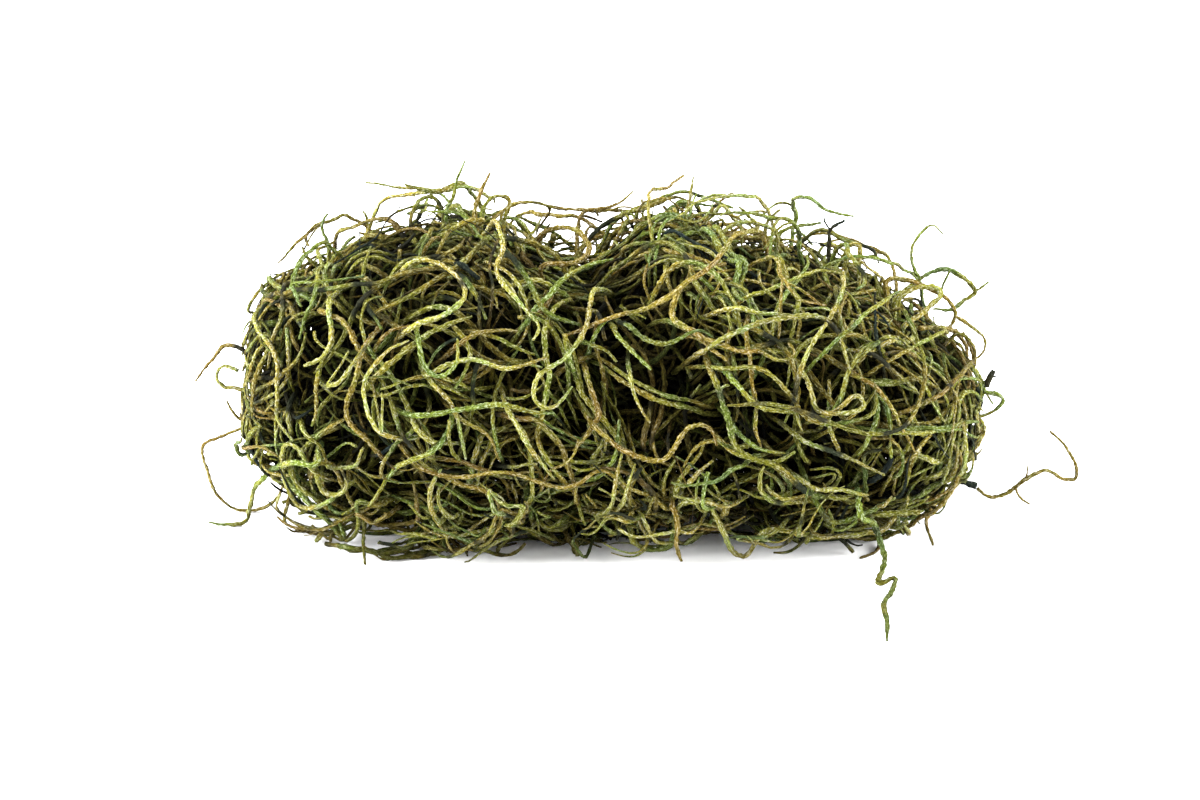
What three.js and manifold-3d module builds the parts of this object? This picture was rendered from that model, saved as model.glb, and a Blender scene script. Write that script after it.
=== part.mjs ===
// A bunch of dried, dyed Spanish moss, lying on a flat surface as it is lifted out of its bag.
// Millimetres, +Z up, the surface at z = 0. X runs along the bunch and the front faces -Y.
// The origin is on the flat spot underneath, below the middle of the bunch.
//
// The bunch is one springy tangle of leafy strands. It is built as one solid: a lumpy heart
// that stands for the packed inside, and the strands that rise out of it, wander over it and
// hang together where they cross. Strands that stand clear of the tangle, or lie loose over
// it, are solids of their own, each rooted in the heart through a plain hole.

import * as THREE from "three";
import { mergeVertices } from "three/addons/utils/BufferGeometryUtils.js";
import Module from "manifold-3d";

const wasm = await Module();
wasm.setup();

// Driving dimensions. A strand's radius is taken to the corners of its section.
const FUSED_R = 0.95; // strand in the tangle, three-sided
const STRAY_R = 0.8; // strand of its own, four-sided
const THIN_R = 0.5; // wisp or side twig, four-sided
const CLEAR = 0.5; // growth of the hole that a strand of its own comes out of
const APART = 1.1; // least gap between a strand laid at random and one that it must not touch
const SHORTEST_EDGE = 0.02; // where strands are joined, edges shorter than this are closed up
const LIFT = 0.1; // a strand comes no nearer the surface than this
const GROW_STEP = 1.5; // distance between two points while a strand is laid
const TIP = 0.6; // a strand's size at its tip, against its root
const THIN_TIP = 0.85; // the same on a wisp
const BACK_FUSED = 42; // strands of the tangle laid at random over the back, ends and top
const FRONT_FUSED = 8; // the same over the front, among those laid by hand
const LOOSE = 34; // strands of their own laid at random
const SEED = 17; // starts the draws that lay strands at random
const HEART = 0.78; // size of the heart's sections against the bunch's outline
const HEART_LENGTH = 0.9; // length of the heart against the bunch's
const HEART_FOOT = 1.03; // depth of the heart's lower half against the outline's
const FLAT_BELOW = 1.8; // the heart is flat underneath wherever it comes this near the surface
const HEART_FACES = [22, 18]; // faces of the heart round its poles and from pole to pole
const LUMP = 0.05; // height of the heart's lumps against its size
const ROOT_LEVEL = 0.82; // how far out in the heart a strand laid by hand starts
const ROOT_ROOM = 20; // no such strand starts nearer the bunch's ends than this
const BEYOND_END = 20; // length past the bunch's ends over which the level grows by 1

// The number of sides and the length of one straight stretch of each kind of strand
const FUSED_FORM = { sides: 3, step: 6.5 };
const STRAY_FORM = { sides: 4, step: 3.8 };
const LOOSE_FORM = { sides: 4, step: 4.8 };

// How the bunch is seen from the front: its strands are laid out as this view shows them.
const VIEW_TILT = THREE.MathUtils.degToRad(18); // the eye's height above the horizon
const VIEW_DISTANCE = 623;
const VIEW_MIDDLE = new THREE.Vector3(-2.6, 0, 25.2);

// The bunch's outline along X: [x, underside, crest, half depth].
const OUTLINE = [
  [-82, 20, 26, 2],
  [-80, 12, 41, 14],
  [-75, 6, 52, 25],
  [-66, 2, 60, 34],
  [-51, 0, 68, 41],
  [-35, 0, 70, 44],
  [-20, 0, 67, 44],
  [-6, 0, 62, 42],
  [7, 0, 67, 43],
  [18, 3, 69, 45],
  [37, 0, 65, 45],
  [55, 1, 58, 42],
  [68, 5, 48, 34],
  [76, 11, 39, 24],
  [81, 18, 31, 13],
  [83, 23, 26, 2],
];
const LEFT_END = OUTLINE[0][0];
const RIGHT_END = OUTLINE[OUTLINE.length - 1][0];
const MIDDLE_X = (LEFT_END + RIGHT_END) / 2;
const SQUARENESS = 2.4; // 2 would make each section an ellipse

const COLOURS = {
  moss: 0x7d7a38,
  brown: 0x8d7743,
  pale: 0xa9a765,
  green: 0x6f8a55,
  dark: 0x23261f,
};

// Strands in the tangle's front, as the front view shows them: points across and up from the
// view's middle. Each lies on its level of the outline, 1 being the outline itself. A strand
// starts in the heart, and "both" says that its other end goes back in.
const FRONT_STRANDS = [
  // Left end
  { level: 1.0, route: [[-62, 29], [-62.5, 24], [-63, 21], [-65, 17.5], [-66.5, 13.5]] },
  { level: 1.02, route: [[-60, 21], [-59, 16], [-59, 12], [-61, 9.5], [-65, 7.5]] },
  { level: 1.0, route: [[-69.5, 25], [-70, 18], [-72, 13.5], [-73, 7]] },
  { level: 1.03, route: [[-76, 18], [-74, 13.5], [-71, 9], [-71, 2], [-71, -4], [-67.5, -9]] },
  { level: 0.98, route: [[-76, 1.5], [-70.5, 5], [-66, 9.5], [-64.5, 15]] },
  { level: 1.04, both: true, route: [[-64, -15], [-66, -11], [-69, -9.5], [-70, -13.5],
    [-69, -19], [-66, -23.5], [-60, -22.5]] },
  { level: 1.03, route: [[-62.5, -16.5], [-61, -20], [-57.5, -21], [-55.5, -18], [-57, -15]] },
  { level: 1.0, route: [[-63.5, -16.5], [-62, -14], [-59, -15], [-56, -19.5], [-52.5, -25],
    [-47.5, -27.5], [-41, -27], [-40, -22], [-41, -18]] },
  { level: 1.0, route: [[-67, -18], [-60, -23.5], [-54, -28], [-50, -33]] },
  // Left middle
  { level: 1.02, route: [[-52, 11.5], [-53.5, 5], [-55.5, 0], [-55.5, -4.5], [-51, -9],
    [-45, -15.5]] },
  { level: 0.98, both: true, route: [[-61, 19.5], [-55.5, 16], [-53.5, 12]] },
  { level: 1.0, route: [[-52, 14], [-52.5, 18], [-51, 22], [-48, 22.5]] },
  { level: 0.97, route: [[-49.5, 5], [-42, 11.5], [-35, 16], [-28, 18.5]] },
  { level: 1.03, both: true, route: [[-40, 31], [-34, 29.5], [-30, 25.5], [-30, 22],
    [-34.5, 18.5], [-40, 17]] },
  { level: 0.98, route: [[-30, 27], [-27, 22.5], [-25, 17.5]] },
  { level: 1.03, route: [[-39.5, 10.5], [-38, 6.5], [-35, 5], [-31.5, 8], [-31.5, 13.5]] },
  { level: 1.02, route: [[-40, -3.5], [-30, -2], [-21.5, -1], [-15, -2.5], [-10, -3]] },
  { level: 0.98, route: [[-37, 3.5], [-32.5, -1], [-30.5, -8], [-29.5, -13]] },
  { level: 0.99, route: [[-36.5, 6], [-28.5, 9], [-20.5, 7], [-11.5, 9.5]] },
  { level: 1.02, route: [[-40, -14.5], [-31, -17], [-20, -16], [-10, -19], [-5, -18.5],
    [0, -15], [4, -17.5], [8, -23.5], [15, -28]] },
  { level: 0.98, route: [[-39, -14], [-31, -18.5], [-24, -20], [-22, -26]] },
  { level: 1.0, route: [[-19, -4.5], [-15.5, -10.5], [-10, -17.5]] },
  { level: 1.0, route: [[-15, -16], [-15, -21], [-21.5, -29.5]] },
  { level: 0.98, route: [[-15.5, -24.5], [-9, -28.5], [4.5, -29.5]] },
  // Middle
  { level: 1.04, route: [[-23, 39.5], [-21.5, 33], [-23, 28.5], [-19, 23], [-16, 19.5],
    [-13, 16], [-15, 13]] },
  { level: 1.0, route: [[-20, 32], [-15.5, 26], [-12.5, 19.5], [-4, 16.5]] },
  { level: 0.98, route: [[-12.5, 21.5], [-5.5, 28.5], [3, 31]] },
  { level: 1.05, route: [[-1.5, 24], [-3.5, 15], [-8, 9], [-13.5, 5.5], [-14.5, 0],
    [-10.5, -2], [-6, 3]] },
  { level: 1.02, route: [[6, 16.5], [10.5, 13], [16.5, 13], [22, 15.5], [24.5, 13.5]] },
  { level: 1.0, route: [[15, 28.5], [20, 30.5], [24.5, 28.5], [30, 20.5]] },
  { level: 0.98, route: [[16.5, 23], [16, 18], [21, 15], [24, 11.5], [28, 8.5]] },
  { level: 1.0, route: [[0, -7], [5.5, -11], [13.5, -13.5], [19.5, -6], [24, -6],
    [25.5, -10]] },
  { level: 1.02, both: true, route: [[15, -27], [19, -22], [24.5, -23], [29.5, -29]] },
  { level: 1.0, route: [[25.5, 3.5], [28, -3], [30, -10.5], [38.5, -14.5], [46.5, -20.5],
    [59, -22]] },
  // Right
  { level: 1.03, route: [[27, 13.5], [34, 16.5], [44, 18.5], [50.5, 17.5], [53.5, 12],
    [55, 7]] },
  { level: 1.0, route: [[26.5, 7], [35, 7], [41, 2], [46, -4.5], [53.5, -5], [60.5, -2.5],
    [60.5, 3.5]] },
  { level: 1.0, route: [[30, 3.5], [35, -1.5], [44, -3]] },
  { level: 1.04, both: true, route: [[53.5, -1], [56, 1.5], [58.5, -1], [55, -3],
    [47.5, -2.5], [46.5, 1.5]] },
  { level: 0.99, route: [[33, 23], [39.5, 25], [48, 28.5], [53.5, 28]] },
  { level: 1.04, route: [[53.5, 14.5], [60, 20], [66, 24]] },
  { level: 1.02, both: true, route: [[53, 0], [55, 7], [60.5, 12]] },
  { level: 1.0, route: [[60, 10], [65, 6], [69.5, 2], [71.5, -1]] },
  { level: 1.01, route: [[62, 1.5], [65.5, -4.5], [69, -11.5]] },
  { level: 1.0, route: [[46, -9.5], [54, -12.5], [62.5, -16.5]] },
  { level: 1.02, route: [[49, -25], [52, -27], [59, -24.5], [65, -21.5]] },
  { level: 1.04, route: [[74.5, 1], [80, 6.5], [82, 10.5], [80, 15]] },
];

// Short tips and arcs of the tangle that show against the light: points across, up and deep.
const EDGE_STRANDS = [
  { both: true, route: [[-41.5, 40.5, 6], [-40, 44, 7], [-37, 45, 8], [-34.5, 41, 7]] },
  { both: true, route: [[-26, 39.5, 3], [-25, 43.5, 4], [-22, 45, 4], [-19.5, 44, 4],
    [-21, 40, 4]] },
  { route: [[-60, 35, 2], [-61.5, 37.5, 2], [-60, 41, 2]] },
  { route: [[-62, 29.5, -4], [-64.5, 31, -5], [-65.5, 33.5, -5]] },
  { route: [[-17, 35, 5], [-15, 37, 5], [-13, 40, 5]] },
  { both: true, route: [[24.5, 34, -3], [28, 38, 0], [34, 39, 2], [39, 36.5, 3]] },
  { route: [[36.5, 39, 9], [39.5, 42, 9]] },
  { route: [[39, 36.5, 5], [42.5, 38, 5], [48.5, 39, 6]] },
  { both: true, route: [[54.5, 34, 4], [57.5, 34, 4], [57, 31.5, 3]] },
  { route: [[79, 15, -3], [81.5, 13, -4], [82.5, 11, -4], [82.5, 8, -4]] },
  { route: [[-78, -5, -8], [-80.5, -3, -8], [-82, 0, -8]] },
  { route: [[-69, -24, -11], [-69.5, -26.5, -12], [-68, -29, -13]] },
  { route: [[-52, -33, -34], [-51.5, -36, -37]] },
];

// Strands that are solids of their own: points across, up and, where the strand stands clear
// of the tangle, deep. A point without a depth lies on the strand's level of the outline.
// Forks are side twigs that grow out of the strand.
const STRAYS = [
  { name: "strand_left_curl", colour: "brown",
    route: [[-77, 9, -9], [-79, 11.5, -9], [-82.5, 12, -9], [-85.5, 8.5, -9], [-89, 4, -9]] },
  { name: "strand_left_loop", colour: "pale", thin: true,
    route: [[-77, 2, -2], [-80, 2.5, -2], [-83, 3, -2], [-84.5, 5.5, -2], [-82.5, 7.5, -3],
      [-79.5, 6.5, -4]] },
  { name: "strand_left_low_loop", colour: "brown", thin: true, both: true,
    route: [[-79, -6.5, -1], [-83, -8, -2], [-87, -9.5, -3], [-87.5, -12, -3],
      [-86, -16, -4], [-84, -21, -4], [-80, -24, -3.5], [-75, -24, -3], [-71, -21.5, -3]] },
  { name: "strand_left_low_green", colour: "green", level: 1.12,
    route: [[-62.5, -14], [-67.5, -14], [-72, -15.5, -21], [-75.5, -19, -15],
      [-77, -23.5, -12], [-77.5, -26.5, -11.5], [-80.5, -27.5, -12.5], [-86, -27, -12]] },
  { name: "spike_crest_left", colour: "green", thin: true,
    route: [[-33.5, 42.5, 5], [-32.5, 44.5, 5], [-31.5, 48, 5], [-29.5, 52.5, 5]] },
  { name: "spike_crest_left_short", colour: "brown",
    route: [[-27.5, 42, 1], [-26.5, 45, 1], [-25.5, 47, 1], [-24, 50, 1]] },
  { name: "strand_crest_hook", colour: "brown", both: true,
    route: [[-14, 34, 8], [-12, 37, 7], [-8.5, 38, 5], [-5, 37.5, 3], [-3, 35, -1],
      [-2.5, 33, -5], [-4, 31, -10], [-8, 30, -15], [-12.5, 29.5, -17]] },
  { name: "spike_crest_right", colour: "pale", thin: true,
    route: [[19, 40, 6], [19.5, 44, 6], [20.5, 49, 6]] },
  { name: "wisp_crest_right", colour: "pale", thin: true, both: true,
    route: [[23, 38, 10], [25, 41, 10], [27, 43, 10], [28, 41.5, 10], [31, 38, 10]] },
  { name: "twig_crest_dark", colour: "dark",
    route: [[50.5, 35.5, 8], [50.5, 37.5, 8], [52, 38.5, 8], [54, 39.4, 8]],
    forks: [[[50.5, 37.5, 8], [49.5, 39, 8], [49.3, 40, 8]]] },
  { name: "spray_right_high", colour: "green",
    route: [[66, 23, 3], [70.5, 26.5, 3], [73, 28, 3], [77, 28.5, 3], [80.5, 26.5, 3],
      [82.5, 24, 3], [80, 22, 3], [77, 20, 3], [73, 20, 3]],
    forks: [
      [[70.5, 26.5, 3], [69, 29, 3], [68.5, 33, 3], [70, 36, 3], [73, 38.5, 3],
        [75.5, 36.5, 3]],
      [[82, 23.5, 3], [83.5, 24.5, 3], [85.5, 26, 3]],
      [[77, 28.5, 3], [75.5, 25.5, 3], [74.5, 22.5, 3]],
    ] },
  { name: "strand_right_bow", colour: "brown",
    route: [[63.5, 26.5, -3], [68.5, 26, -3], [72, 24.5, -3], [75.5, 23, -3], [77.5, 21, -3],
      [78, 18.5, -3], [76.5, 16, -3], [74.5, 14.5, -4]],
    forks: [
      [[78, 18.5, -3], [80.5, 17, -3], [82.5, 15.5, -3], [84.5, 13.5, -3], [84.5, 11, -3],
        [82.5, 9, -3], [80, 8.5, -3]],
    ] },
  { name: "strand_right_fold", colour: "pale", both: true,
    route: [[65, 22, -8], [68, 24, -8], [71, 25, -8], [74, 24.5, -8.5], [75, 23, -9.5],
      [73, 21, -11], [70, 18.5, -13], [67, 16.5, -15]] },
  { name: "spray_right_low", colour: "green",
    route: [[78, 11, 2], [81, 8.5, 2], [84, 4, 2], [84.5, 2, 2], [87, 1.5, 2], [88.5, 0.5, 2],
      [87, -2, 2], [84, -3.5, 2], [80, -4, 2]],
    forks: [
      [[84.5, 2, 2], [82.5, 2.5, 3], [81.5, 2, 5]],
      [[84.5, 2, 2], [85.5, 0.5, 3.5], [86.5, -1, 4.5]],
      [[84.5, 2, 2], [83.5, -1, 0.5], [83.5, -2.5, -1]],
    ] },
  { name: "sheath_right_dark", colour: "dark", rooted: false, radius: 1, tip: 0.5,
    route: [[84.8, 3, 2], [85.5, 5, 2], [86.7, 6.7, 2]],
    forks: [[[85.3, 4.5, 2], [86.2, 5.2, 2.5], [87.4, 5, 3]]] },
  { name: "strand_right_hook", colour: "pale", both: true,
    route: [[78, -3.5, -5], [82, -4, -5], [84, -5.5, -5], [83, -9, -5], [81, -11.5, -5],
      [78.5, -12, -5]] },
  { name: "stem_right_dark", colour: "dark", radius: 1, tip: 1,
    route: [[72, -15.5, 2], [76, -16.5, 2], [79, -17.7, 2], [82.6, -19, 2]] },
  { name: "tendril_right", colour: "brown", rooted: false, thin: true,
    route: [[83, -19.3, 2], [86, -21.5, 2], [89, -20.5, 2], [93.5, -17.5, 2], [98, -15.5, 2],
      [102, -17.5, 2], [104.5, -17.5, 2], [104.5, -14, 2], [102, -10, 2], [99, -7, 2]],
    forks: [
      [[93.5, -17.5, 2], [94, -15.8, 2], [94, -14.5, 2]],
      [[91.3, -19, 2], [92, -21, 1], [94.5, -23, 1]],
    ] },
  { name: "strand_right_hanging", colour: "brown",
    route: [[74.5, -17, -11], [74.5, -19, -14], [73.5, -22.5, -18], [72, -26.5, -22],
      [73, -32, -25]] },
  { name: "strand_front_trailing", colour: "green", level: 1.12,
    route: [[57.5, -25.5], [60.5, -27.5, -34], [61.5, -31, -36], [62.5, -34.5, -38],
      [61.5, -40.5, -48.5], [65, -39, -46.5], [64.5, -41, -49.5], [62.5, -46, -58],
      [63, -51, -68], [63, -55, -77.5]] },
  { name: "strand_front_wave", colour: "pale", both: true,
    route: [[18, -23, -37], [21, -22, -38], [24, -23, -38.5], [27, -28, -38],
      [29.5, -33, -36.5], [32, -34, -35.5], [34, -32, -35.5], [37, -28.5, -36],
      [41, -28.5, -36], [47, -30, -35.5], [55, -29.5, -33.5], [62, -28, -31.5],
      [67, -23.5, -30], [72, -19.5, -27], [78, -16.5, -20], [80, -13.5, -17],
      [78, -10.5, -16], [73.5, -12, -19]] },
  { name: "loop_front_low", colour: "green", both: true,
    route: [[7, -30, -33], [9, -32.5, -32.5], [12, -33, -32], [15, -32, -32],
      [16.5, -28.5, -33]] },
  { name: "prong_front_low", colour: "brown",
    route: [[16, -24, -39.5], [17, -28, -40], [17, -32, -40], [18, -35.5, -39.5]] },
];

// Where strands are laid at random: the range of angles round the bunch, 0 being the back and
// 90 the top, the range of levels that they run on, their length, and how far a tip lifts.
const BACK_WAY = { from: -50, to: 132, low: 0.92, high: 1.04, shortest: 34, longest: 86,
  root: 0.69, lift: 0.1, radius: FUSED_R };
const FRONT_WAY = { ...BACK_WAY, from: 132, to: 232, low: 0.88, high: 0.98 };
const LOOSE_WAY = { ...BACK_WAY, from: -50, to: 205, low: 1.08, high: 1.13, longest: 74,
  root: 0.64, lift: 0.07, radius: STRAY_R };
const LOOSE_COLOURS = ["brown", "green", "pale", "green", "brown"];

// How a strand laid at random runs. Lengths are in millimetres, turns in radians per
// millimetre, and heights in levels.
const END_ROOM = 9; // it starts no nearer the bunch's ends than this
const HEADING_SPREAD = 1.5; // radians that its heading strays from the bunch's length
const SIDEWAYS_BEND = 0.05; // range of the steady turn
const CURL = { least: 0.03, spread: 0.075 }; // the turn that goes from side to side
const WAVE = { least: 26, spread: 34 }; // length of one such turn and back
const RISE = { height: 0.03, length: 19 }; // its waves up and down
const SETTLES_BY = 9; // length from its root to its running level
const TIP_SHARE = 0.3; // share of its length in which its tip dips or lifts
const TIP_DIP = 0.1;
const CLIMB = { over: 5, steepest: 0.75 }; // length in which it comes to its level, and slope

// Seeded draws between 0 and 1, the same on every run.
function draws(seed) {
  let state = seed;
  return () => {
    state = (state * 1664525 + 1013904223) % 4294967296;
    return state / 4294967296;
  };
}

// The outline at x, smoothed through its stations.
function sectionAt(x) {
  const last = OUTLINE.length - 1;
  let i = 0;
  while (i < last - 1 && x > OUTLINE[i + 1][0]) i += 1;
  const u = Math.min(Math.max((x - OUTLINE[i][0]) / (OUTLINE[i + 1][0] - OUTLINE[i][0]), 0), 1);
  const smooth = (k) => {
    const [a, b, c, d] = [i - 1, i, i + 1, i + 2].map(
      (j) => OUTLINE[Math.min(Math.max(j, 0), last)][k],
    );
    return b + 0.5 * u * (c - a + u * (2 * a - 5 * b + 4 * c - d + u * (3 * (b - c) + d - a)));
  };
  return { low: smooth(1), high: smooth(2), deep: Math.max(smooth(3), 1) };
}

// How far out a point lies: 0 on the bunch's axis, 1 on its outline, more outside.
function levelOf(p) {
  const { low, high, deep } = sectionAt(p.x);
  const up = Math.abs((2 * p.z - low - high) / (high - low));
  const across = Math.abs(p.y / deep);
  const round = Math.pow(Math.pow(up, SQUARENESS) + Math.pow(across, SQUARENESS), 1 / SQUARENESS);
  const beyond = Math.max(LEFT_END - p.x, p.x - RIGHT_END, 0);
  return round + beyond / BEYOND_END;
}

// The way out of the bunch at a point, and how fast the level grows along it.
function outwardAt(p) {
  const reach = 0.5;
  const slope = ["x", "y", "z"].map((axis) => {
    const ahead = p.clone();
    const behind = p.clone();
    ahead[axis] += reach;
    behind[axis] -= reach;
    return (levelOf(ahead) - levelOf(behind)) / (2 * reach);
  });
  const way = new THREE.Vector3(...slope);
  const rate = Math.max(way.length(), 1e-6);
  return { way: way.divideScalar(rate), rate };
}

// The point at an angle round the section at x, on the given level.
function pointOn(x, angle, level) {
  const { low, high, deep } = sectionAt(x);
  const [c, s] = [Math.cos(angle), Math.sin(angle)];
  const power = 2 / SQUARENESS;
  return new THREE.Vector3(
    x,
    level * deep * Math.sign(c) * Math.pow(Math.abs(c), power),
    (low + high) / 2 + ((level * (high - low)) / 2) * Math.sign(s) * Math.pow(Math.abs(s), power),
  );
}

// A point of the front view: across and up from its middle, and the depth behind the axis.
function seen([across, up, depth]) {
  const eye = new THREE.Vector3(0, -Math.cos(VIEW_TILT), Math.sin(VIEW_TILT))
    .multiplyScalar(VIEW_DISTANCE)
    .add(VIEW_MIDDLE);
  const spot = new THREE.Vector3(across, up * Math.sin(VIEW_TILT), up * Math.cos(VIEW_TILT)).add(
    VIEW_MIDDLE,
  );
  return eye.lerp(spot, (depth - eye.y) / (spot.y - eye.y));
}

// The point where the front view, at this place, first meets the given level of the bunch.
function laid([across, up], level) {
  const [nearest, farthest, step] = [-60, 30, 0.5];
  for (let depth = nearest; depth < farthest; depth += step) {
    const p = seen([across, up, depth]);
    if (levelOf(p) <= level) return p;
  }
  return seen([across, up, 0]);
}

// The point of the bunch's axis that a strand's root heads for.
function heartNear(p) {
  const x = THREE.MathUtils.clamp(p.x, LEFT_END + ROOT_ROOM, RIGHT_END - ROOT_ROOM);
  const { low, high } = sectionAt(x);
  return new THREE.Vector3(x, 0, (low + high) / 2);
}

// How far out of the heart a point lies: 1 on its surface, less inside.
function heartLevelOf(p) {
  const stretched = p.clone();
  stretched.x = MIDDLE_X + (p.x - MIDDLE_X) / HEART_LENGTH;
  return levelOf(stretched) / HEART;
}

// Two points that carry a strand from its end down into the heart: the deep one, then one on
// the way.
function rootOf(end) {
  const inside = heartNear(end);
  let share = 0;
  while (share < 1 && heartLevelOf(end.clone().lerp(inside, share)) > ROOT_LEVEL) share += 0.01;
  return [end.clone().lerp(inside, share), end.clone().lerp(inside, share * 0.5)];
}

// A strand's points in space, from its route in the front view, with its roots.
function throughSpace({ route, rooted = true, both = false, level = 1 }) {
  const points = route.map((spot) => (spot.length === 3 ? seen(spot) : laid(spot, level)));
  const near = rooted ? rootOf(points[0]) : [];
  const far = both ? rootOf(points[points.length - 1]).reverse() : [];
  return [...near, ...points, ...far];
}

// Evenly spaced points along a route.
function evenly(points, step = 1) {
  const curve = new THREE.CatmullRomCurve3(points);
  return curve.getSpacedPoints(Math.max(Math.round(curve.getLength() / step), 3));
}

// Lays a strand over the bunch at random. It rises from the heart to its running level, sways
// to both sides, and its tip dips back in or lifts off.
function wander(draw, { from, to, low, high, shortest, longest, root, lift, radius }) {
  const x = LEFT_END + END_ROOM + (RIGHT_END - LEFT_END - 2 * END_ROOM) * draw();
  const angle = THREE.MathUtils.degToRad(from + (to - from) * draw());
  const length = shortest + (longest - shortest) * draw();
  const run = low + (high - low) * draw();
  const heading = (draw() < 0.5 ? 0 : Math.PI) + (draw() + draw() - 1) * HEADING_SPREAD;
  const bend = (draw() - 0.5) * SIDEWAYS_BEND;
  const curl = CURL.least + CURL.spread * draw();
  const wave = WAVE.least + WAVE.spread * draw();
  const phase = 2 * Math.PI * draw();
  const tip = draw() < 0.5 ? run + lift : run - TIP_DIP;

  const p = pointOn(x, angle, root);
  p.x = MIDDLE_X + (x - MIDDLE_X) * HEART_LENGTH;
  let { way: out, rate } = outwardAt(p);
  const side = new THREE.Vector3(1, 0, 0).addScaledVector(out, -out.x).normalize();
  const other = out.clone().cross(side);
  const go = side.multiplyScalar(Math.cos(heading)).addScaledVector(other, Math.sin(heading));
  const points = [p.clone()];
  for (let gone = 0; gone < length; gone += GROW_STEP) {
    const settling = Math.min(gone / SETTLES_BY, 1);
    const ending = Math.max((gone / length - 1) / TIP_SHARE + 1, 0);
    const sway = RISE.height * Math.sin((2 * Math.PI * gone) / RISE.length + phase);
    const wanted = root + (run - root) * settling + (tip - run) * ending * ending + sway;
    ({ way: out, rate } = outwardAt(p));
    const slope = (wanted - levelOf(p)) / rate / CLIMB.over;
    const climb = THREE.MathUtils.clamp(slope, -CLIMB.steepest, CLIMB.steepest);
    const turn = bend + curl * Math.sin((2 * Math.PI * gone) / wave + phase);
    go.applyAxisAngle(out, turn * GROW_STEP);
    go.addScaledVector(out, -go.dot(out)).normalize();
    p.addScaledVector(go, GROW_STEP * Math.sqrt(1 - climb * climb));
    p.addScaledVector(out, GROW_STEP * climb);
    p.z = Math.max(p.z, radius);
    points.push(p.clone());
  }
  return points;
}

// The distance between the middles of two strands, from their points.
function distanceBetween(a, b) {
  let least = Infinity;
  for (const p of a) {
    for (const q of b) least = Math.min(least, p.distanceTo(q));
  }
  return least;
}

// Whether a strand comes back to touch itself. Points close along it don't count.
function meetsItself(points, radius) {
  const near = 3 * radius;
  const skip = Math.ceil((5 * radius) / GROW_STEP);
  return points.some((p, i) => points.slice(i + skip).some((q) => p.distanceTo(q) < near));
}

// A strand laid at random that keeps clear of the given ones.
function wanderClear(draw, way, others) {
  const gap = way.radius + STRAY_R + APART;
  for (;;) {
    const points = wander(draw, way);
    const even = evenly(points);
    const free = others.every((other) => distanceBetween(even, other) > gap);
    if (free && !meetsItself(points, way.radius)) return points;
  }
}

// A strand: a cylinder bent along its route, thinning towards its tip. A grown one is fatter
// and longer by the same amount all round.
function strandGeometry({ points, radius, tip }, { sides, step }, grown = 0) {
  const curve = new THREE.CatmullRomCurve3(points);
  const steps = Math.max(Math.round(curve.getLength() / step), 3);
  const frames = curve.computeFrenetFrames(steps, false);
  const rod = new THREE.CylinderGeometry(1, 1, steps, sides, steps);
  const at = rod.getAttribute("position");
  for (let i = 0; i < at.count; i += 1) {
    const k = Math.round(at.getY(i) + steps / 2);
    const share = k / steps;
    const thick = radius * (1 - (1 - tip) * share * share) + grown;
    const longer = grown * (Number(k === steps) - Number(k === 0));
    const place = curve.getPointAt(share);
    place.z = Math.max(place.z, LIFT + radius);
    place
      .addScaledVector(frames.tangents[k], longer)
      .addScaledVector(frames.normals[k], at.getX(i) * thick)
      .addScaledVector(frames.binormals[k], -at.getZ(i) * thick);
    at.setXYZ(i, place.x, place.y, place.z);
  }
  return rod;
}

// The packed inside of the bunch: the outline drawn in, lumpy, and flat where it rests.
function heartGeometry() {
  const ball = new THREE.SphereGeometry(1, ...HEART_FACES);
  const at = ball.getAttribute("position");
  for (let i = 0; i < at.count; i += 1) {
    const [out, along, up] = [at.getX(i), -at.getY(i), at.getZ(i)];
    const x = MIDDLE_X + ((RIGHT_END - LEFT_END) / 2) * along;
    const angle = Math.atan2(up, out);
    const lump = 1 + LUMP * Math.sin(x * 0.21 + 3 * angle) * Math.sin(x * 0.13 - 2 * angle);
    const onPole = Math.hypot(out, up) < 1e-6;
    const p = pointOn(x, angle, onPole ? 0 : HEART * lump);
    const { low, high } = sectionAt(x);
    const middle = (low + high) / 2;
    const z = p.z < middle ? middle - ((middle - p.z) * HEART_FOOT) / HEART : p.z;
    at.setXYZ(i, MIDDLE_X + (x - MIDDLE_X) * HEART_LENGTH, p.y, z < FLAT_BELOW ? 0 : z);
  }
  return ball;
}

// A closed geometry as a solid that can be joined and cut.
function solidOf(geometry) {
  const bare = geometry.clone();
  bare.deleteAttribute("normal");
  bare.deleteAttribute("uv");
  const merged = mergeVertices(bare, 1e-4);
  return new wasm.Manifold(
    new wasm.Mesh({
      numProp: 3,
      vertProperties: new Float32Array(merged.getAttribute("position").array),
      triVerts: new Uint32Array(merged.index.array),
      tolerance: SHORTEST_EDGE,
    }),
  );
}

// The largest body of a solid, without the scraps that a cut leaves.
function largest(solid) {
  return solid.decompose().reduce((a, b) => (b.volume() > a.volume() ? b : a));
}

function joined(solids) {
  return solids.reduce((a, b) => a.add(b));
}

// A strand and its forks as one solid.
function strandSolid({ parts, form }, grown = 0) {
  return joined(parts.map((part) => solidOf(strandGeometry(part, form, grown))));
}

function meshOf(name, solid, colour) {
  const cut = solid.getMesh();
  const shape = new THREE.BufferGeometry();
  shape.setAttribute("position", new THREE.BufferAttribute(cut.vertProperties, 3));
  shape.setIndex(new THREE.BufferAttribute(cut.triVerts, 1));
  shape.computeVertexNormals();
  const material = new THREE.MeshStandardMaterial({
    color: COLOURS[colour],
    roughness: 0.92,
    metalness: 0,
  });
  const mesh = new THREE.Mesh(shape, material);
  mesh.name = name;
  return mesh;
}

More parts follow.
